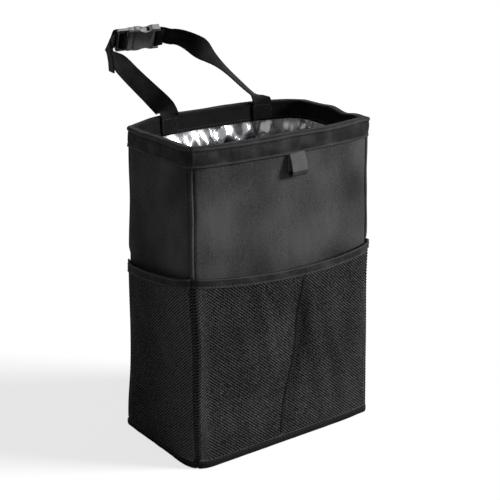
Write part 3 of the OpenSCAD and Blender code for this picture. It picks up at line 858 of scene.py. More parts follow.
@dataclass
class Walls:
    """The four cloth walls, the base cloth and the corner rolls where the walls are sewn together."""

    unevenness: float = 0.8
    roll_r: float = 2.0
    roll_in: float = 2.5
    roll_sides: int = 12
    shaded_below: float = 168

    def relief(self, side: Side, x: Points, z: Points) -> Points:
        """How far the cloth stands off its board: soft ripples, drawn flat at all four edges.

        Args:
            side: The wall.
            x: Distance from the middle of the wall in mm.
            z: Height in mm.

        Returns:
            The distance in mm, from about -0.5 to 0.9.
        """
        half = FORM.half(side, z) - FORM.corner
        sides, foot = smooth((1 - np.abs(x) / half) * 5), smooth((z - FORM.wall_z) / 22)
        held = sides * foot * smooth((FORM.layer_top - z) / 26)
        seed = len(side.value)
        soft = ripple(x * 1.1, z * 0.9, 11 + seed, 45, 120)
        drape = ripple(x + 0.7 * z, 0.25 * x, 31 + seed, 38, 70, 5) * smooth((190 - np.abs(z - 150)) / 150)
        fine = ripple(x * 1.3, z * 0.8, 23 + seed, 10, 26, 12)
        return self.unevenness * held * (0.8 * soft + 0.45 * drape + 0.12 * fine)

    def wall(self, side: Side) -> Piece:
        """One wall: a sheet whose outer face ripples and whose side edges turn inwards round the corner.

        Args:
            side: The wall.

        Returns:
            The dressed sheet.
        """
        m, n = (120, 150) if side.long else (70, 150)
        s, z = wall_grid(m, n, FORM.wall_z, FORM.layer_top)
        half, edge = FORM.half(side, z) - FORM.corner, FORM.corner - 0.35
        turned_in = 1.1 * smooth((np.abs(s) - 0.985) / 0.015)
        outer, inner = (
            settled(wall_point(side, s, z, n_out, edge)).reshape(-1, 3)
            for n_out in (self.relief(side, s * half, z) - turned_in, np.full_like(z, -FORM.cloth))
        )
        flat = np.stack([s * half, z], -1).reshape(-1, 2)
        piece = thick_sheet(f"{side.value}_wall", outer, inner, grid_quads(m, n), flat)
        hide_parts(f"{side.value}_panel")
        OXFORD.dress(piece)
        if side is Side.BACK:
            return piece
        return SHADED.dress_part(piece, z[:-1, :-1].ravel() < self.shaded_below)

    def stiffener(self, side: Side) -> Piece:
        """The board behind a wall: a plain plate that follows the wall's bow.

        Args:
            side: The wall.

        Returns:
            The dressed board.
        """
        m, n = 28, 40
        s, z = wall_grid(m, n, FORM.wall_z + 0.4, FORM.layer_top - 0.6)
        faces = [
            settled(wall_point(side, s, z, np.full_like(z, -deep))).reshape(-1, 3) for deep in (1.75, 3.6)
        ]
        flat = np.stack([s * 90, z], -1).reshape(-1, 2)
        piece = thick_sheet(f"{side.value}_stiffener", *faces, grid_quads(m, n), flat)
        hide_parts(f"{side.value}_board")
        return BOARD.dress(piece)

    def corner_roll(self, name: str, sx: int, sy: int) -> Piece:
        """A corner's sewn roll: a round section that swells and sways a little on its way up.

        Args:
            name: Name of the piece and of its CAD node.
            sx: -1 for the left side and 1 for the right one.
            sy: -1 for the front and 1 for the back.

        Returns:
            The dressed roll.
        """
        z = np.linspace(FORM.wall_z + 0.3, FORM.band_z + 2, 90)[:, None]
        a = np.arange(self.roll_sides)[None] / self.roll_sides * 2 * math.pi
        r = self.roll_r + 0.16 * ripple(z, z * 0.3, 40 + sx + 3 * sy, 18, 60)
        deep = self.roll_in + 1.3 * smooth((184 - z) / 10)
        sway_x, sway_y = (0.18 * ripple(z, z * 0, seed + sx * 2 + sy, 30, 90) for seed in (50, 60))
        x = sx * (FORM.half_w(z) - deep + sway_x) + r * np.cos(a)
        y = sy * (FORM.half_d(z) - deep + sway_y) + r * np.sin(a)
        piece = loft(name, settled(np.stack([x, y, z + 0 * a], -1)))
        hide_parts(name)
        low = np.repeat(z[:-1, 0] < (self.shaded_below + 8 if sy < 0 else FORM.wall_z), self.roll_sides)
        return SHADED.dress_part(OXFORD.dress(piece), low)

    def plate(self, name: str, low: float, high: float, belly: float) -> Piece:
        """A flat piece of the bag's plan between two heights, bellied up underneath by a parabola.

        Args:
            name: Name of the piece.
            low: Height of its lower face in mm.
            high: Height of its upper face in mm.
            belly: How far the middle of the lower face is raised in mm.

        Returns:
            The piece: rings of the plan, shrunk towards its middle on both faces.
        """
        shrink = np.linspace(0, 1, 14)[None, :, None]
        plan = settled(FORM.around(np.array([[-3.9, 7.0]]))) * np.array([1, 1, 0])
        rise = np.array([0, 0, 1.0])
        under = plan * shrink + rise * (low + belly * (1 - shrink ** 2))
        over = plan * shrink[:, ::-1] + rise * high
        return merged(loft(name, np.concatenate([under, over + 0 * under], 1), closed=True))

    def base(self) -> list[Piece]:
        """The base cloth and the board that lies on it."""
        cloth = self.plate("base_cloth_sheet", 0.2, 1.8, 0.5)
        board = self.plate("base_stiffener", 1.9, 4.8, 0)
        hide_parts("base_panel")
        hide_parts("base_board")
        return [BASE_CLOTH.dress(cloth), BOARD.dress(board)]

    def build(self) -> list[Piece]:
        """Makes all the pieces of the walls."""
        pieces = [make(side) for side in Side for make in (self.stiffener, self.wall)]
        for sx, across in ((-1, "left"), (1, "right")):
            for sy, along in ((-1, "front"), (1, "back")):
                pieces.append(self.corner_roll(f"{along}_{across}_piping", sx, sy))
        return pieces + self.base()


@dataclass
class Lining:
    """The foil bag inside: its film hangs a few millimetres off the boards in sharp creases."""

    outside: float = 3.8
    thick: float = 0.8
    floor_z: float = 5.0
    crumple: float = 5.0
    rows: int = 120
    plain_rows: int = 20
    steps: tuple[int, int, int] = (150, 80, 8)

    def build(self) -> list[Piece]:
        """Makes the lining: from the middle of the floor up its outer face and down its creased inner one."""
        z = np.linspace(FORM.wall_z, FORM.layer_top, self.rows)
        section = np.stack([np.full(self.rows, -self.outside), z], 1)
        plain = np.linspace(0, self.rows - 1, self.plain_rows).round().astype(int)
        outer = FORM.around(section[plain], *self.steps)
        inner = FORM.around(section[::-1] - np.array([self.thick, 0]), *self.steps)
        walk, high = walked(outer[:, -1])[:, None], inner[:, :, 2]
        across = walk + 0 * high
        held = smooth((FORM.band_z + 1 - high) / 16) * smooth((high - FORM.wall_z) / 10)
        fold = creases(across, high, 5, 11, 30, 5, 0.5) + 0.16 * creases(across, high, 9, 5, 10, 3, 0.4)
        inner = inner - right_of(round_way(outer[:, -1:])) * (self.crumple * held * fold)[..., None]
        level, up = np.array([1, 1, 0]), np.array([0, 0, 1])
        shrink = np.linspace(0.02, 1, 12)[None, :, None]
        floor_out = outer[:, :1] * level * shrink + up * self.floor_z
        floor_in = inner[:, -1:] * level * shrink[:, ::-1] + up * (self.floor_z + self.thick)
        floor_in[..., 2] += 0.8 * creases(floor_in[..., 0], floor_in[..., 1], 14, 14, 40)
        rings = settled(np.concatenate([floor_out, outer, inner, floor_in], 1))
        piece = merged(loft("foil_lining_bag", rings, closed=True))
        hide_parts("foil_lining")
        return [FOIL.dress(piece)]


@dataclass
class RimBand:
    """The folded tape round the rim, with a bead on top and a sewn fold along its lower edge."""

    join_x: float = -60
    join_lift: float = 0.6
    hems: tuple[tuple[int, int], ...] = ((3, 5), (16, 18))
    inside: tuple[int, int] = (23, 40)
    steps: tuple[int, int, int] = (150, 70, 8)

    def section(self) -> Points:
        """The section as [outward distance, height]: up the face, over the rim, down inside and back."""
        return np.array([
            [0.25, 277.7], [0.7, 277.3], [1.35, 277.3], [1.85, 277.8], [1.95, 278.5], [1.6, 279.2],
            [1.1, 279.7], [1.0, 280.2], [1.25, 281.0], [1.5, 282.6], [1.55, 285.0], [1.5, 287.5],
            [1.35, 289.6], [1.0, 290.6], [0.95, 291.1], [1.4, 291.6], [1.9, 292.4], [2.0, 293.3],
            [1.75, 294.3], [1.1, 295.0], [0.2, 295.3], [-1.2, 295.1], [-3.2, 294.9], [-4.9, 295.1],
            [-5.8, 294.8], [-6.5, 294.0], [-6.6, 293.0], [-6.2, 292.0], [-6.0, 291.0], [-6.1, 287.0],
            [-6.1, 282.5], [-6.05, 280.2], [-6.3, 279.0], [-6.2, 277.8], [-5.6, 277.5], [-4.9, 277.8],
            [-4.8, 280.0], [-4.8, 285.0], [-4.8, 290.0], [-4.7, 292.3], [-4.0, 293.0], [-2.0, 293.2],
            [-0.6, 293.0], [0.15, 292.2], [0.2, 288.0], [0.2, 284.0], [0.2, 280.0], [0.2, 278.4],
        ])

    def band(self) -> Piece:
        """Carries the section round the rim; its faces ripple softly and it steps up at the join."""
        section = self.section()
        n, z = section[None, :, 0], section[None, :, 1]
        rings = FORM.around(section, *self.steps)
        x, out = rings[..., 0], right_of(round_way(rings[:, :1]))
        walk = walked(rings[:, 0])[:, None]
        front = (rings[..., 1] < -45) & (np.abs(x) < 90)
        lifted = self.join_lift * smooth((x - self.join_x) / 1.2) * smooth((88 - x) / 50) * front
        wave, inner_wave = ripple(walk, z * 1.4, 71, 22, 80), ripple(walk, z * 1.4, 72, 20, 60)
        shift = (n > 0.6) * (0.6 * wave + lifted) - (n < -5.5) * 0.4 * inner_wave
        rings = rings + out * shift[..., None]
        rings[..., 2] += self.top_line(rings)
        piece = loft("rim_band", settled(rings), closed=True)
        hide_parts("rim_binding")
        row = np.tile(np.arange(len(section)), len(rings))
        BAND_INSIDE.dress_part(BINDING.dress(piece), (row >= self.inside[0]) & (row < self.inside[1]))
        # Painted highlight: the hem rows get the paler tape.
        return TAPE_HIGHLIGHT.dress_part(piece, sum((row >= a) & (row < b) for a, b in self.hems) > 0)

    def top_line(self, points: Points) -> Points:
        """How far the rim's top rises or dips: soft ripples, and deeper dips along the right side."""
        x, y, z = points[..., 0], points[..., 1], points[..., 2]
        free = smooth((z - 279) / 12)
        right = smooth((x - 85) / 10)
        dips = bump((y - 4) / 9) - 2.2 * bump((y + 16) / 10) - 1.1 * bump((y + 43) / 9)
        return free * (right * dips + 0.45 * ripple(x, y * 1.4, 77, 35, 110, 6))

    def seam(self, name: str, n: float, z: float, outwards: int) -> Piece:
        """A row of stitches round the band at distance n outside the wall and height z."""
        piece = round_stitches(name, n, z, self.steps, outwards)
        return THREAD.dress(piece)

    def build(self) -> list[Piece]:
        """Makes the band and its two rows of stitches."""
        return [
            self.band(),
            self.seam("rim_stitches_outside", 1.15, 280.0, 1),
            self.seam("rim_stitches_inside", -6.1, 280.2, -1),
        ]


@dataclass
class FootEdge:
    """The rolled tape round the base, with a row of stitches n outside the wall and z up."""

    unevenness: float = 0.35
    seam_n: float = 1.5
    seam_z: float = 5.6
    steps: tuple[int, int, int] = (110, 60, 8)

    def build(self) -> list[Piece]:
        """Carries a rolled section round the base, uneven by soft ripples."""
        section = np.array([
            [-0.6, 0.0], [0.2, 0.15], [0.9, 0.7], [1.35, 1.6], [1.5, 2.8], [1.5, 4.2],
            [1.3, 5.4], [0.8, 6.4], [0.3, 6.9], [-0.4, 7.0], [-2.0, 7.0], [-3.7, 7.0],
            [-3.7, 4.5], [-3.7, 2.0], [-3.7, 0.0], [-2.0, 0.0],
        ])
        rings = FORM.around(section, *self.steps)
        centre, n, z = rings.mean(1, keepdims=True), section[None, :, 0], section[None, :, 1]
        wave = ripple(walked(centre[:, 0])[:, None], z, 81, 14, 60)
        shift = np.clip(n + 0.2, 0, 1) * self.unevenness * wave
        rings = rings + right_of(round_way(centre)) * shift[..., None]
        piece = loft("foot_edge", settled(rings), closed=True)
        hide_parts("base_binding")
        row = round_stitches("foot_stitches", self.seam_n, self.seam_z, self.steps, pitch=3.6, radius=0.26)
        return [FOOT_TAPE.dress(piece), DARK_THREAD.dress(row)]


@dataclass
class Pocket:
    """A net pocket on one wall, with a folded binding along its sagging edge.

    Attributes:
        side: The wall.
        bulge: How far the net stands off it in mm.
        ends: Height of the pocket's edge at both ends in mm.
        sag: How far the edge hangs below them in its middle in mm.
        height: Height of the lattice in mm.
        foot: Height of the net's lower edge in mm.
        edge: Distance of its side edges from the bag's corners in mm.
        net: Thickness of the net in mm.
        cell_w: Width of a lattice cell in mm.
        cell_h: Height of a lattice cell in mm.
        binding_h: Height of the binding in mm.
        lean: Which way the lattice slants, 1 or -1.
        turned_back: Width in mm, from the left edge, in which its lines lean the other way.
        held_from: Share of the half width from which the net is drawn to the wall on its left.
        divided: Whether a seam divides the pocket.
    """

    side: Side
    bulge: float
    ends: tuple[float, float]
    sag: float
    height: float = 181
    foot: float = 7.2
    edge: float = 0.9
    net: float = 0.9
    cell_w: float = 3.4
    cell_h: float = 2.9
    binding_h: float = 8
    lean: int = 1
    turned_back: float = 0
    held_from: float = 0.97
    divided: bool = False

    def rim(self, s: Points) -> Points:
        """Height of the pocket's edge: a line from end to end that sags by a parabola."""
        return mix(self.ends[0], self.ends[1], (s + 1) / 2) - self.sag * (1 - s ** 2)

    def surface(self, s: Points, z: Points, n: Points) -> Points:
        """A point n outside the hanging net.

        The net stands off the wall by a bulge of (1 - |s|^2.4)^0.8 across and t^0.6 up, with soft
        folds, and a dividing seam draws it back to the wall along a slanting line.

        Args:
            s: Place across the wall, from -1 to 1.
            z: Height in mm.
            n: Distance outside the net's inner face in mm.

        Returns:
            The points in mm.
        """
        s = np.clip(s, -1, 1)
        t = np.clip((z - self.foot) / (self.rim(s) - self.foot), 0, 1)
        shape = np.clip(1 - np.abs(s) ** 2.4, 0, None) ** 0.8
        x = s * (FORM.half(self.side, z) - self.edge)
        free = shape * smooth((1 - t) / 0.2) * smooth(t / 0.1)
        folds = 1.3 * free * ripple(x * 1.3 + 0.3 * z, z * 0.6, 91 + len(self.side.value), 30, 80)
        out = mix(0.15, 0.95, t) + self.bulge * shape * t ** 0.6 + folds
        if self.divided:
            away = x - self.seam_x(t)
            line = bump(away / np.where(away < 0, 19, 9)) * (1 - smooth((t - 0.65) / 0.3))
            out = mix(0.15, out, 1 - 0.88 * line)
            n = n - 0.7 * bump((x - self.seam_x(1.0)) / 1.3) * smooth((t - 0.92) / 0.03)
        start = np.where(s < 0, self.held_from, 0.97)
        tucked = smooth((np.abs(s) - start) / (1 - start))
        n_out = mix(out, 0.0, tucked) + n * mix(1.0, 0.6, tucked) - 1.2 * tucked
        return settled(wall_point(self.side, s, z, n_out, self.edge))

    def seam_x(self, t: Points) -> Points:
        """Where the dividing seam runs: upright from the pocket's edge, then slanting to the left."""
        return mix(-7.0, 10.0, smooth((t - 0.03) / 0.6))

    def shear(self, x: Points, half: float) -> Points:
        """How far the lattice is drawn down near the left edge, where its lines turn the other way."""
        return 2 * self.cell_h / self.cell_w * self.lean * np.minimum(x + half - self.turned_back, 0)

    def mesh(self) -> Piece:
        """The net: a slanting lattice of cells, each with a slit between cords that are wide one way.

        Lattice point (i, j) lies at (i + j) half widths across and (j - i) half heights up; the width is
        fitted so that lattice lines fall on both edges. A cell whose corners are all inside has a slit;
        a cell that the edge cuts is drawn in to the edge, left whole and coloured near black. So
        is one that only touches the edge, except at the front left corner.

        Returns:
            The net's object.
        """
        half = (FORM.base_w if self.side.long else FORM.base_d) / 2 - self.edge
        wide = 2 * half / round(2 * half / self.cell_w)
        turned_cells = int(self.turned_back / self.cell_w) * 2
        reach = int(half / self.cell_w + self.height / self.cell_h) + 3 + turned_cells

        def lattice(i: Points, j: Points) -> Run:
            """Places of lattice points across and up the wall in mm."""
            across = (i + j) * wide / 2 * self.lean
            return across, (j - i) * self.cell_h / 2 + self.height / 2 + self.shear(across, half)

        span = np.arange(-reach, reach)
        i, j = (a.ravel() for a in np.meshgrid(span, span, indexing="ij"))
        corner = np.array([[0, 0], [1, 0], [1, 1], [0, 1]])
        ci, cj = i[:, None] + corner[:, 0], j[:, None] + corner[:, 1]
        x, z = lattice(ci, cj)
        slit_side = {Side.FRONT: -1, Side.LEFT: 1}.get(self.side, 0)
        reached = np.abs(x) < half + np.where(np.sign(x) == slit_side, 0.1, -0.1)
        inside = reached & (z > self.foot) & (z < self.rim(np.clip(x / half, -1, 1)) - 1.5)
        kept = inside.any(1)
        ci, cj, x, z, whole = ci[kept], cj[kept], x[kept], z[kept], inside[kept].all(1)
        key, where = np.unique(np.stack([ci.ravel(), cj.ravel()], 1), axis=0, return_inverse=True)
        where = where.reshape(-1, 4)
        # The slit runs along the first lattice direction and is narrow along the second.
        a, b = np.array([[0.09, 0.91, 0.91, 0.09], [0.22, 0.22, 0.78, 0.78]])
        slit = [
            c[:, :1] + a * (c[:, 1:2] - c[:, :1]) + b * (c[:, 3:4] - c[:, :1]) for c in (x[whole], z[whole])
        ]
        ring, hole = where[whole], len(key) + np.arange(slit[0].size).reshape(-1, 4)
        quads = np.concatenate([where[~whole]] + [
            np.stack([ring[:, k], ring[:, m], hole[:, m], hole[:, k]], 1) for k, m in enumerate((1, 2, 3, 0))
        ])
        fx, fz = (np.concatenate([c, h.ravel()]) for c, h in zip(lattice(key[:, 0], key[:, 1]), slit))
        s = np.clip(fx / half, -1, 1)
        fz = np.clip(fz, self.foot, self.rim(s) - 1.5)
        outer, inner = self.surface(s, fz, np.full_like(s, self.net)), self.surface(s, fz, np.zeros_like(s))
        piece = thick_sheet(f"{self.side.value}_net", outer, inner, quads, np.stack([fx, fz], 1))
        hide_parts(f"{self.side.value}_pocket_mesh")
        return NET_EDGE.dress_part(NET.dress(piece), np.abs(x[~whole]).max(1) > half - 0.1)

    def binding(self) -> Piece:
        """The folded binding: a flat loop of tape over the net's edge with a raised lower hem."""
        # Section as [outward distance, height]: w is the tape's thickness, m the net's and o their sum.
        w, m, o, h = 0.8, 1.0, 1.8, -self.binding_h
        section = np.array([
            [m + 0.15, h + 0.2], [m + 0.5, h - 0.25], [o + 0.15, h], [o + 0.25, h + 0.7], [o - 0.1, h + 1.3],
            [o - 0.05, h + 2.2], [o + 0.1, -4.0], [o - 0.05, -1.9], [o - 0.1, -1.3], [o + 0.2, -0.6],
            [m + 0.5, 0.15], [0.3, 0.25], [-0.5, 0.0], [-w, -0.7], [-w, -4.0], [-w, h], [-0.1, h],
            [-0.1, -4.0], [-0.1, -1.5], [0.5, -1.35], [m + 0.1, -1.5], [m + 0.1, -4.0],
        ])
        s, n = np.linspace(-1, 1, 110)[:, None], section[None, :, 0]
        z = self.rim(s) + section[None, :, 1]
        n = n + 0.18 * ripple(s * 100, z, 95, 14, 50) * (n > m)
        rings = self.surface(s + 0 * z, z, n)
        piece = loft(f"{self.side.value}_pocket_edge", rings)
        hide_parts(f"{self.side.value}_pocket_binding")
        hems = np.isin(np.arange(len(section)), (2, 3, 8, 9))
        # Painted highlight: the folded hem rows get the paler tape.
        return TAPE_HIGHLIGHT.dress_part(BINDING.dress(piece), np.tile(hems, len(rings) - 1))

    def row(self, name: str, s: Points, z: Points, n: float) -> Piece:
        """A row of stitches n outside the net, through places s across the wall at heights z."""
        line = self.surface(s, z, np.full_like(s, n))
        piece = stitches(name, line, unit(self.surface(s, z, np.full_like(s, 3.0)) - line))
        return piece

    def sewing(self) -> Piece:
        """The row of stitches along the binding's lower hem."""
        s = np.linspace(-0.99, 0.99, 140)
        z = self.rim(s) - self.binding_h + 1.6
        return THREAD.dress(self.row(f"{self.side.value}_pocket_stitches", s, z, 1.75))

    def divider(self) -> list[Piece]:
        """The dividing seam: a narrow tape sewn down along the slanting line, with a row of stitches."""
        t = np.linspace(0.02, 0.985, 120)[:, None]
        x = np.array([[-1.5, -1.1, 0.0, 1.1, 1.5, 1.0, 0.0, -1.0]])
        n = np.array([[0.9, 1.1, 1.2, 1.1, 0.9, 0.7, 0.7, 0.7]])
        s = (self.seam_x(t) + x) / (FORM.base_w / 2 - self.edge)
        z = mix(self.foot, self.rim(s) - 3, t)
        tape = loft("pocket_divider_tape", self.surface(s, z, n + 0 * s))
        row = self.row("pocket_divider_stitches", s[:, 2], z[:, 2], 1.2)
        return [FOOT_TAPE.dress(tape), DARK_THREAD.dress(row)]

    def build(self) -> list[Piece]:
        """Makes the net, its binding and the stitches, and the dividing seam where there is one."""
        pieces = [self.mesh(), self.binding(), self.sewing()]
        return pieces + self.divider() if self.divided else pieces


@dataclass
class PullTab:
    """The doubled strip of webbing on the front, under the rim band."""

    x: float = 7
    width: float = 17
    length: float = 20
    thick: float = 1.2
    stands: float = 8.2
    top: float = 277.7
    fold: tuple[int, int] = (10, 31)

    def middle(self) -> Points:
        """The tab's middle line as [distance from the wall, height]: down, round an arc and back up."""
        back = 0.15 + self.thick / 2
        r = (self.stands - self.thick - 0.15) / 2
        turn = np.array([back + r, self.top - self.length + r + self.thick / 2])
        seam = np.array([back + self.thick + 0.1, self.top + 0.6])
        slope = math.atan2(turn[0] + r - seam[0], seam[1] - turn[1])
        a, t = np.linspace(math.pi, 2 * math.pi + slope, 22), np.linspace(0.1, 1, 12)
        arc = turn + r * np.stack([np.cos(a), np.sin(a)], 1)
        down = np.stack([np.full(10, back), np.linspace(self.top + 0.6, turn[1] + 0.8, 10)], 1)
        up = mix(arc[-1], seam, t[:, None])
        up[:, 0] += 0.5 * np.sin(t * math.pi)
        return np.concatenate([down, arc, up])

    def build(self) -> list[Piece]:
        """Makes the tab with painted shade on its fold, and the stitches that hold it."""
        line = self.middle()
        way = unit(np.gradient(line, axis=0))
        side = np.stack([way[:, 1], -way[:, 0]], 1)
        w, t = self.width / 2, self.thick / 2
        # Section across the strip: places from edge to edge, its face from there and its underside back.
        u = np.array([-w, 0.25 - w, 1.2 - w, -w / 2, 0, w / 2, w - 1.2, w - 0.25, w])
        face = np.array([0, 0.8, 1, 0.9, 0.85, 0.9, 1, 0.8, 0, -0.8, -1, -1, -1, -1, -1, -0.8])
        across = np.concatenate([u, u[-2:0:-1]])
        nz = line[:, None] + side[:, None] * (t * face)[None, :, None]
        wall = float(FORM.front_y(0.0, self.top))
        rings = np.stack([self.x + across + 0 * nz[..., 0], wall - nz[..., 0], nz[..., 1]], -1)
        piece = loft("pull_tab", settled(rings))
        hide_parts("front_tab")
        row_x = np.linspace(self.x - w + 1, self.x + w - 1, 30)
        row_y = wall - (line[-1, 0] + t + 0.05) - 0.35
        row_line = np.stack([row_x, np.full(30, row_y), np.full(30, self.top - 2.2)], 1)
        row = stitches("tab_stitches", settled(row_line), np.tile([0.0, -1.0, 0.15], (30, 1)), 2.6, 0.28)
        # Painted shade: the faces round the loop's turn get the darker tape.
        step = np.repeat(np.arange(len(line) - 1), len(across))
        TAB_FOLD_SHADE.dress_part(TAB_WEBBING.dress(piece), (step >= self.fold[0]) & (step < self.fold[1]))
        return [piece, THREAD.dress(row)]


def turned(yaw: float, rise: float, tilt: float) -> Points:
    """Rotation by tilt about x, then by minus rise about y, then by yaw about z.

    Args:
        yaw: Angle about z in degrees.
        rise: Angle about y in degrees, the other way round.
        tilt: Angle about x in degrees.

    Returns:
        The rotation as a 3 by 3 matrix.
    """
    whole = np.eye(3)
    for angle, j, k in ((yaw, 0, 1), (-rise, 2, 0), (tilt, 1, 2)):
        c, s = math.cos(math.radians(angle)), math.sin(math.radians(angle))
        part = np.eye(3)
        part[j, j], part[j, k], part[k, j], part[k, k] = c, -s, s, c
        whole = whole @ part
    return whole


@dataclass
class Strap:
    """The two limbs of headrest webbing, from their sewn ends on the rim to the buckle."""

    spread: float = 52
    shift: float = 4.5
    width: float = 20
    thick: float = 1.4
    buckle_at: Vector = (-44.2, 112.8, 359.5)
    turn: Points = field(default_factory=lambda: turned(-15.3, 2.7, 36.6))

    def spot(self, x: float, y: float) -> Points:
        """A point in the middle plane of the buckle's own frame."""
        return np.array(self.buckle_at) + self.turn @ np.array([x, y, 0.0])

    def on_band(self, x: Points, z: Points) -> Points:
        """How far back the webbing's middle lies where it is sewn to the rim band's inner face."""
        return FORM.back_y(x, z) - (6.1 + self.thick / 2 + 0.7)

    def rim_way(self, x: float, z: float) -> Points:
        """Direction along the back wall's bow, to the right."""
        return unit([1, (FORM.back_y(x + 5.0, z) - FORM.back_y(x - 5.0, z)) / 10, 0])

    def sewn(self, side: int, lift: float = 0.0) -> Run:
        """A sewn end, up the rim band's inner face.

        Args:
            side: -1 for the left limb and 1 for the right one.
            lift: How far inside the webbing's middle the line runs in mm.

        Returns:
            The middle line and the width's direction at each point of it.
        """
        x = side * self.spread + self.shift
        z = np.linspace(279, 295.5, 8)
        y = self.on_band(np.full(8, x), np.minimum(z, 295)) - lift
        return np.stack([np.full(8, x), y, z], 1), np.tile(self.rim_way(x, 290.0), (8, 1))

    def run(
        self, side: int, control: list[Points], far: Points, middle: list[float],
        turns: tuple[float, float], end: Points,
    ) -> Run:
        """The free run: a Bezier curve whose width turns by way of a middle direction.

        Args:
            side: -1 for the left limb and 1 for the right one.
            control: The curve's two control points in mm.
            far: Its end at the buckle in mm.
            middle: The width's direction halfway.
            turns: Where along the curve the first turn ends and the second one starts.
            end: The width's direction at the buckle.

        Returns:
            The middle line and the width's direction at each point of it.
        """
        x = side * self.spread + self.shift
        start = np.array([x, self.on_band(x, 295.0) + 0.6, 297.5])
        t = np.linspace(0, 1, 60)[:, None]
        shares = (1 - t) ** 3, 3 * (1 - t) ** 2 * t, 3 * (1 - t) * t ** 2, t ** 3
        line = sum(share * point for share, point in zip(shares, (start, *control, far)))
        a, b = smooth(t / turns[0]), smooth((t - turns[1]) / (1 - turns[1]))
        return line, mix(mix(self.rim_way(x, 295.0), unit(middle), a), end, b)

    def flat(self, places: list[tuple[float, float]], end: Points) -> Run:
        """A run that stays square to the buckle, through places given in its own frame."""
        return np.array([self.spot(x, y) for x, y in places]), np.tile(end, (len(places), 1))

    def webbing(self, name: str, runs: list[Run]) -> Piece:
        """Webbing along joined runs: a flat section with rounded selvedges, carried at even steps.

        Args:
            name: Name of the piece.
            runs: Middle lines and width directions, in order.

        Returns:
            The webbing's object.
        """
        line, width = np.concatenate([r[0] for r in runs]), unit(np.concatenate([r[1] for r in runs]))
        walk = walked(line)
        kept = np.concatenate([[True], np.diff(walk) > 0.05])
        walk, line, width = walk[kept], line[kept], width[kept]
        step = 1.6
        at = np.unique(np.concatenate([np.arange(0, walk[-1], step), walk]))
        at = at[np.concatenate([[True], np.diff(at) > 0.3])]
        line, width = found(at, walk, line), found(at, walk, width)
        line[1:-1] = 0.25 * line[:-2] + 0.5 * line[1:-1] + 0.25 * line[2:]
        way = unit(np.gradient(line, axis=0))
        width = unit(width - (width * way).sum(1, keepdims=True) * way)
        normal = unit(np.cross(way, width))
        w, t = self.width / 2, self.thick / 2
        u = np.array([-1, -0.985, -0.93, -0.87, -0.6, -0.3, 0, 0.3, 0.6, 0.87, 0.93, 0.985])
        h = np.array([0, 0.7, 1.0, 0.88, 0.95, 1.0, 0.96, 1.0, 0.95, 0.88, 1.0, 0.7])
        section = np.concatenate([np.stack([u * w, h * t], 1), np.stack([-u * w, -h * t], 1)])
        rings = line[:, None] + width[:, None] * section[None, :, :1] + normal[:, None] * section[None, :, 1:]
        piece = loft(name, rings)
        return STRAP_WEBBING.dress(piece)

    def right(self) -> Piece:
        """The right limb: from the rim up to the socket, round its end bar and back."""
        end = self.turn @ np.array([0, 0, 1.0])
        near = self.spot(28.8, -2.6)
        control = [np.array([50, 83.7, 304]), near + self.turn @ np.array([25.3, -6, 6.7])]
        a = np.radians(np.linspace(90, 270, 14))
        loop = list(zip(15.7 + 2.45 * np.cos(a), 2.45 * np.sin(a)))
        piece = self.webbing("strap_right_webbing", [
            self.sewn(1), self.run(1, control, near, [0.81, 0.51, -0.29], (0.14, 0.35), end),
            self.flat([(25.8, -1.2), (23.3, 0.3), (20.8, 1.2), *loop, (19.3, -2.3), (21.8, -2)], end),
        ])
        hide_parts("strap_right")
        return piece

    def left(self) -> Piece:
        """The left limb: over the plug's edge bar, round its lock bar and back, with a hanging tail."""
        end = -self.turn @ np.array([0, 0, 1.0])
        near = self.spot(-25.3, -0.6)
        control = [np.array([-34.4, 100.6, 305.4]), near + self.turn @ np.array([-16.3, -8, -4.4])]
        a = np.radians(np.linspace(190, 365, 14))
        bar = list(zip(-16.1 + 2.4 * np.cos(a), 2.4 * np.sin(a)))
        falls = np.array([
            self.spot(-27.6, 1.6), [-76.4, 117.7, 355.2], [-77.1, 113.2, 348],
            [-77.3, 110.8, 340], [-77.3, 110.2, 331.5],
        ])
        turning = mix(end, np.array([0.28, 0.96, 0]), smooth(np.arange(1, 6) / 4)[:, None])
        over = [(-24.4, 1.6), (-22, 2.6), (-20.2, 1.9)]
        back = [(-14.3, 2.2), (-16.2, 3.9), (-22, 4.4), (-25.4, 3.8)]
        piece = self.webbing("strap_left_webbing", [
            self.sewn(-1), self.run(-1, control, near, [0.46, 0.43, 0.78], (0.14, 0.58), end),
            self.flat([*over, *bar, *back], end), (falls, turning),
        ])
        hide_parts("strap_left")
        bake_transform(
            piece, "bin", "plug",
            start=tuple(np.array([-47.5, 62, 298]) * MM), end=tuple(self.spot(-25.3, 0) * MM),
        )
        return piece

    def box_seam(self, side: int) -> Piece:
        """The box of stitches that holds a sewn end to the band.

        Args:
            side: -1 for the left limb and 1 for the right one.

        Returns:
            The object that holds the stitches.
        """
        line, way = self.sewn(side, self.thick / 2)
        low, high = line[1] + 0.6, line[-2]
        w = way[0] * (self.width / 2 - 2)
        corners = np.array([low - w, low + w, high + w, high - w, low - w, high + w])
        t = np.linspace(0, 1, 9)[:, None]
        path = np.concatenate([mix(corners[k], corners[k + 1], t) for k in range(5)])
        out = np.tile(unit([way[0][1], -way[0][0], 0]), (len(path), 1))
        piece = stitches(f"strap_{'left' if side < 0 else 'right'}_stitches", path, out, 2.4, 0.26)
        return THREAD.dress(piece)

    def build(self) -> list[Piece]:
        """Makes both limbs and the stitches of their sewn ends."""
        return [self.right(), self.left(), self.box_seam(1), self.box_seam(-1)]


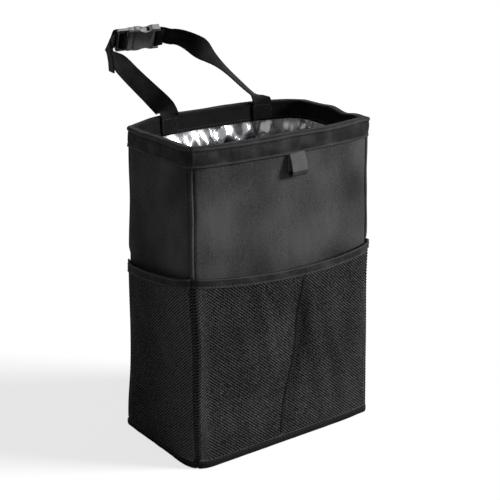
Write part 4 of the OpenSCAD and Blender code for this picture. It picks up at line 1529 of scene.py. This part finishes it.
@dataclass
class Buckle:
    """The side-release buckle's socket and plug, with moulded, rounded edges."""

    edge_r: float = 0.45

    def half(self, node: str, name: str, body: str) -> Piece:
        """One moulding: the CAD node's faces joined into a clean mesh, with its edges rounded.

        Args:
            node: Name of the CAD node.
            name: Name of the piece that stands for it.
            body: The body that it rides on.

        Returns:
            The moulding's object.
        """
        obj = bpy.data.objects.new(name, frame["nodes"][node].data.copy())
        bpy.context.scene.collection.objects.link(obj)
        mesh = bmesh.new()
        mesh.from_mesh(obj.data)
        bmesh.ops.remove_doubles(mesh, verts=mesh.verts, dist=0.004 * MM)
        bmesh.ops.dissolve_limit(mesh, angle_limit=math.radians(1.5), verts=mesh.verts, edges=mesh.edges)
        mesh.to_mesh(obj.data)
        mesh.free()
        obj.data.polygons.foreach_set("use_smooth", np.ones(len(obj.data.polygons), bool))
        bevel = obj.modifiers.new("rounded_edges", "BEVEL")
        bevel.width, bevel.segments, bevel.angle_limit = self.edge_r * MM, 2, math.radians(35)
        bevel.limit_method, bevel.use_clamp_overlap, bevel.harden_normals = "ANGLE", True, True
        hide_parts(node)
        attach(obj, body)
        # Painted highlight: faces that point upwards get the paler acetal.
        upwards = np.zeros(3 * len(obj.data.polygons))
        obj.data.polygons.foreach_get("normal", upwards)
        return ACETAL_HIGHLIGHT.dress_part(ACETAL.dress(obj), upwards[2::3] > 0.55)

    def build(self) -> list[Piece]:
        """Makes the socket, which rides on the bin, and the plug, which slides out."""
        return [
            self.half("buckle_socket", "socket_moulding", "bin"),
            self.half("buckle_plug", "plug_moulding", "plug"),
        ]


def place_in_scene(name: str, data: bpy.types.ID, axes: list[Points], at: Vector) -> Piece:
    """Puts a camera or lamp into the scene.

    Args:
        name: Name of the object.
        data: The camera or lamp.
        axes: Directions of its own x, y and z axes.
        at: Its place in metres.

    Returns:
        The object.
    """
    obj = bpy.data.objects.new(name, data)
    obj.matrix_world = Matrix([[*row, spot] for row, spot in zip(zip(*axes), at)] + [[0, 0, 0, 1]])
    bpy.context.scene.collection.objects.link(obj)
    return obj


@dataclass
class Studio:
    """A pale floor, soft light and the photograph's camera."""

    eye: Vector = (-0.622, -0.852, 0.540)
    right: Vector = (0.80768, -0.58962, 0.0)
    up: Vector = (0.19371, 0.26535, 0.94449)
    back: Vector = (-0.55689, -0.76285, 0.32854)
    lens: float = 86.4
    sky: float = 0.1
    overhead: tuple[float, float] = (0.6, 2.1)
    wall_at: Vector = (0.59, 0.81, 0)
    wall: float = 1.5
    floor_half: float = 3000.0

    def camera(self) -> None:
        """Puts the camera at the photograph's viewpoint."""
        data = bpy.data.cameras.new("camera")
        data.sensor_width, data.lens = 36, self.lens
        bpy.context.scene.camera = place_in_scene("camera", data, [self.right, self.up, self.back], self.eye)

    def key(self, towards: Vector, power: float, size: float) -> None:
        """One soft light from far away.

        Args:
            towards: Direction from the bag to the light.
            power: Its strength in W/m2.
            size: Angle in degrees that it fills in the sky, which makes its shadows soft.
        """
        data = bpy.data.lights.new("key", "SUN")
        data.energy, data.angle = power, math.radians(size)
        back = unit(towards)
        right = unit(np.cross([0, 0, 1.0], back))
        place_in_scene("key", data, [right, np.cross(back, right), back], (0, 0, 0))

    def world(self) -> None:
        """A dim sky for the object, white for the camera, and lamps and a white wall for reflections."""
        world = bpy.data.worlds.new("studio")
        tree = empty_tree(world)
        rays = add_node(tree, "ShaderNodeLightPath")
        way = add_node(tree, "ShaderNodeTexCoord").outputs["Generated"]
        sky, shine, white = (
            add_node(tree, "ShaderNodeBackground", {"Color": (1, 1, 1, 1), "Strength": power})
            for power in (self.sky, self.overhead[0], 1.0)
        )
        height = add_node(tree, "ShaderNodeSeparateXYZ", links={0: way}).outputs["Z"]
        towards = add_node(tree, "ShaderNodeVectorMath", {1: self.wall_at}, {0: way}, operation="DOT_PRODUCT")
        soft = {"interpolation_type": "SMOOTHSTEP"}
        lamps = ranged(tree, height, 0.5, 0.92, *self.overhead, **soft)
        wall = ranged(tree, towards.outputs["Value"], 0.7, 0.95, 0.0, self.wall, **soft)
        tree.links.new(calculate(tree, "ADD", lamps, wall), shine.inputs["Strength"])
        dim = mixed(tree, rays.outputs["Is Glossy Ray"], sky, shine)
        both = mixed(tree, rays.outputs["Is Camera Ray"], dim, white)
        add_node(tree, "ShaderNodeOutputWorld", links={"Surface": both.outputs[0]})
        bpy.context.scene.world = world

    def floor(self) -> None:
        """A wide pale floor that keeps the object's shadow and goes over into the white background."""
        far, low = self.floor_half, -0.05
        points = np.array([[-far, -far, low], [far, -far, low], [far, far, low], [-far, far, low]])
        floor = make_object("floor", points, [np.array([[0, 1, 2, 3]])], None)
        made = bpy.data.materials.new("paper_floor")
        tree = empty_tree(made)
        rays = add_node(tree, "ShaderNodeLightPath")
        paper = add_node(tree, "ShaderNodeBsdfDiffuse", {"Color": linear("#f4f4f4")})
        glow = add_node(tree, "ShaderNodeEmission", {"Color": (1, 1, 1, 1), "Strength": 1.5})
        share = calculate(tree, "MULTIPLY", rays.outputs["Is Camera Ray"], 0.5)
        both = mixed(tree, share, paper, glow)
        add_node(tree, "ShaderNodeOutputMaterial", links={"Surface": both.outputs[0]})
        floor.data.materials.append(made)

    def build(self) -> None:
        """Sets up the camera, the light, the background and the floor."""
        bpy.context.scene.view_settings.view_transform = "Standard"
        self.camera()
        self.key((10, -8, 4.5), 4.6, 18)
        self.world()
        self.floor()


def main() -> None:
    """Builds the sub-assemblies in order and reports each piece."""
    logging.basicConfig(level=logging.INFO, format="%(name)s: %(message)s")
    Studio().build()
    assemblies = [
        Walls(), Lining(), RimBand(), FootEdge(),
        Pocket(Side.FRONT, 9, (181.6, 177), 4.5, turned_back=11, divided=True),
        Pocket(Side.LEFT, 7, (170.5, 181), 2, lean=-1, held_from=0.78), Pocket(Side.RIGHT, 7, (177, 172), 2),
        PullTab(), Strap(), Buckle(),
    ]
    for assembly in assemblies:
        for piece in assembly.build():
            if "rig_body" not in piece and "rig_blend" not in piece:
                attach(piece, "bin")
            log.info("%s: %s, %d faces", type(assembly).__name__, piece.name, len(piece.data.polygons))


if __name__ == "__main__":
    main()
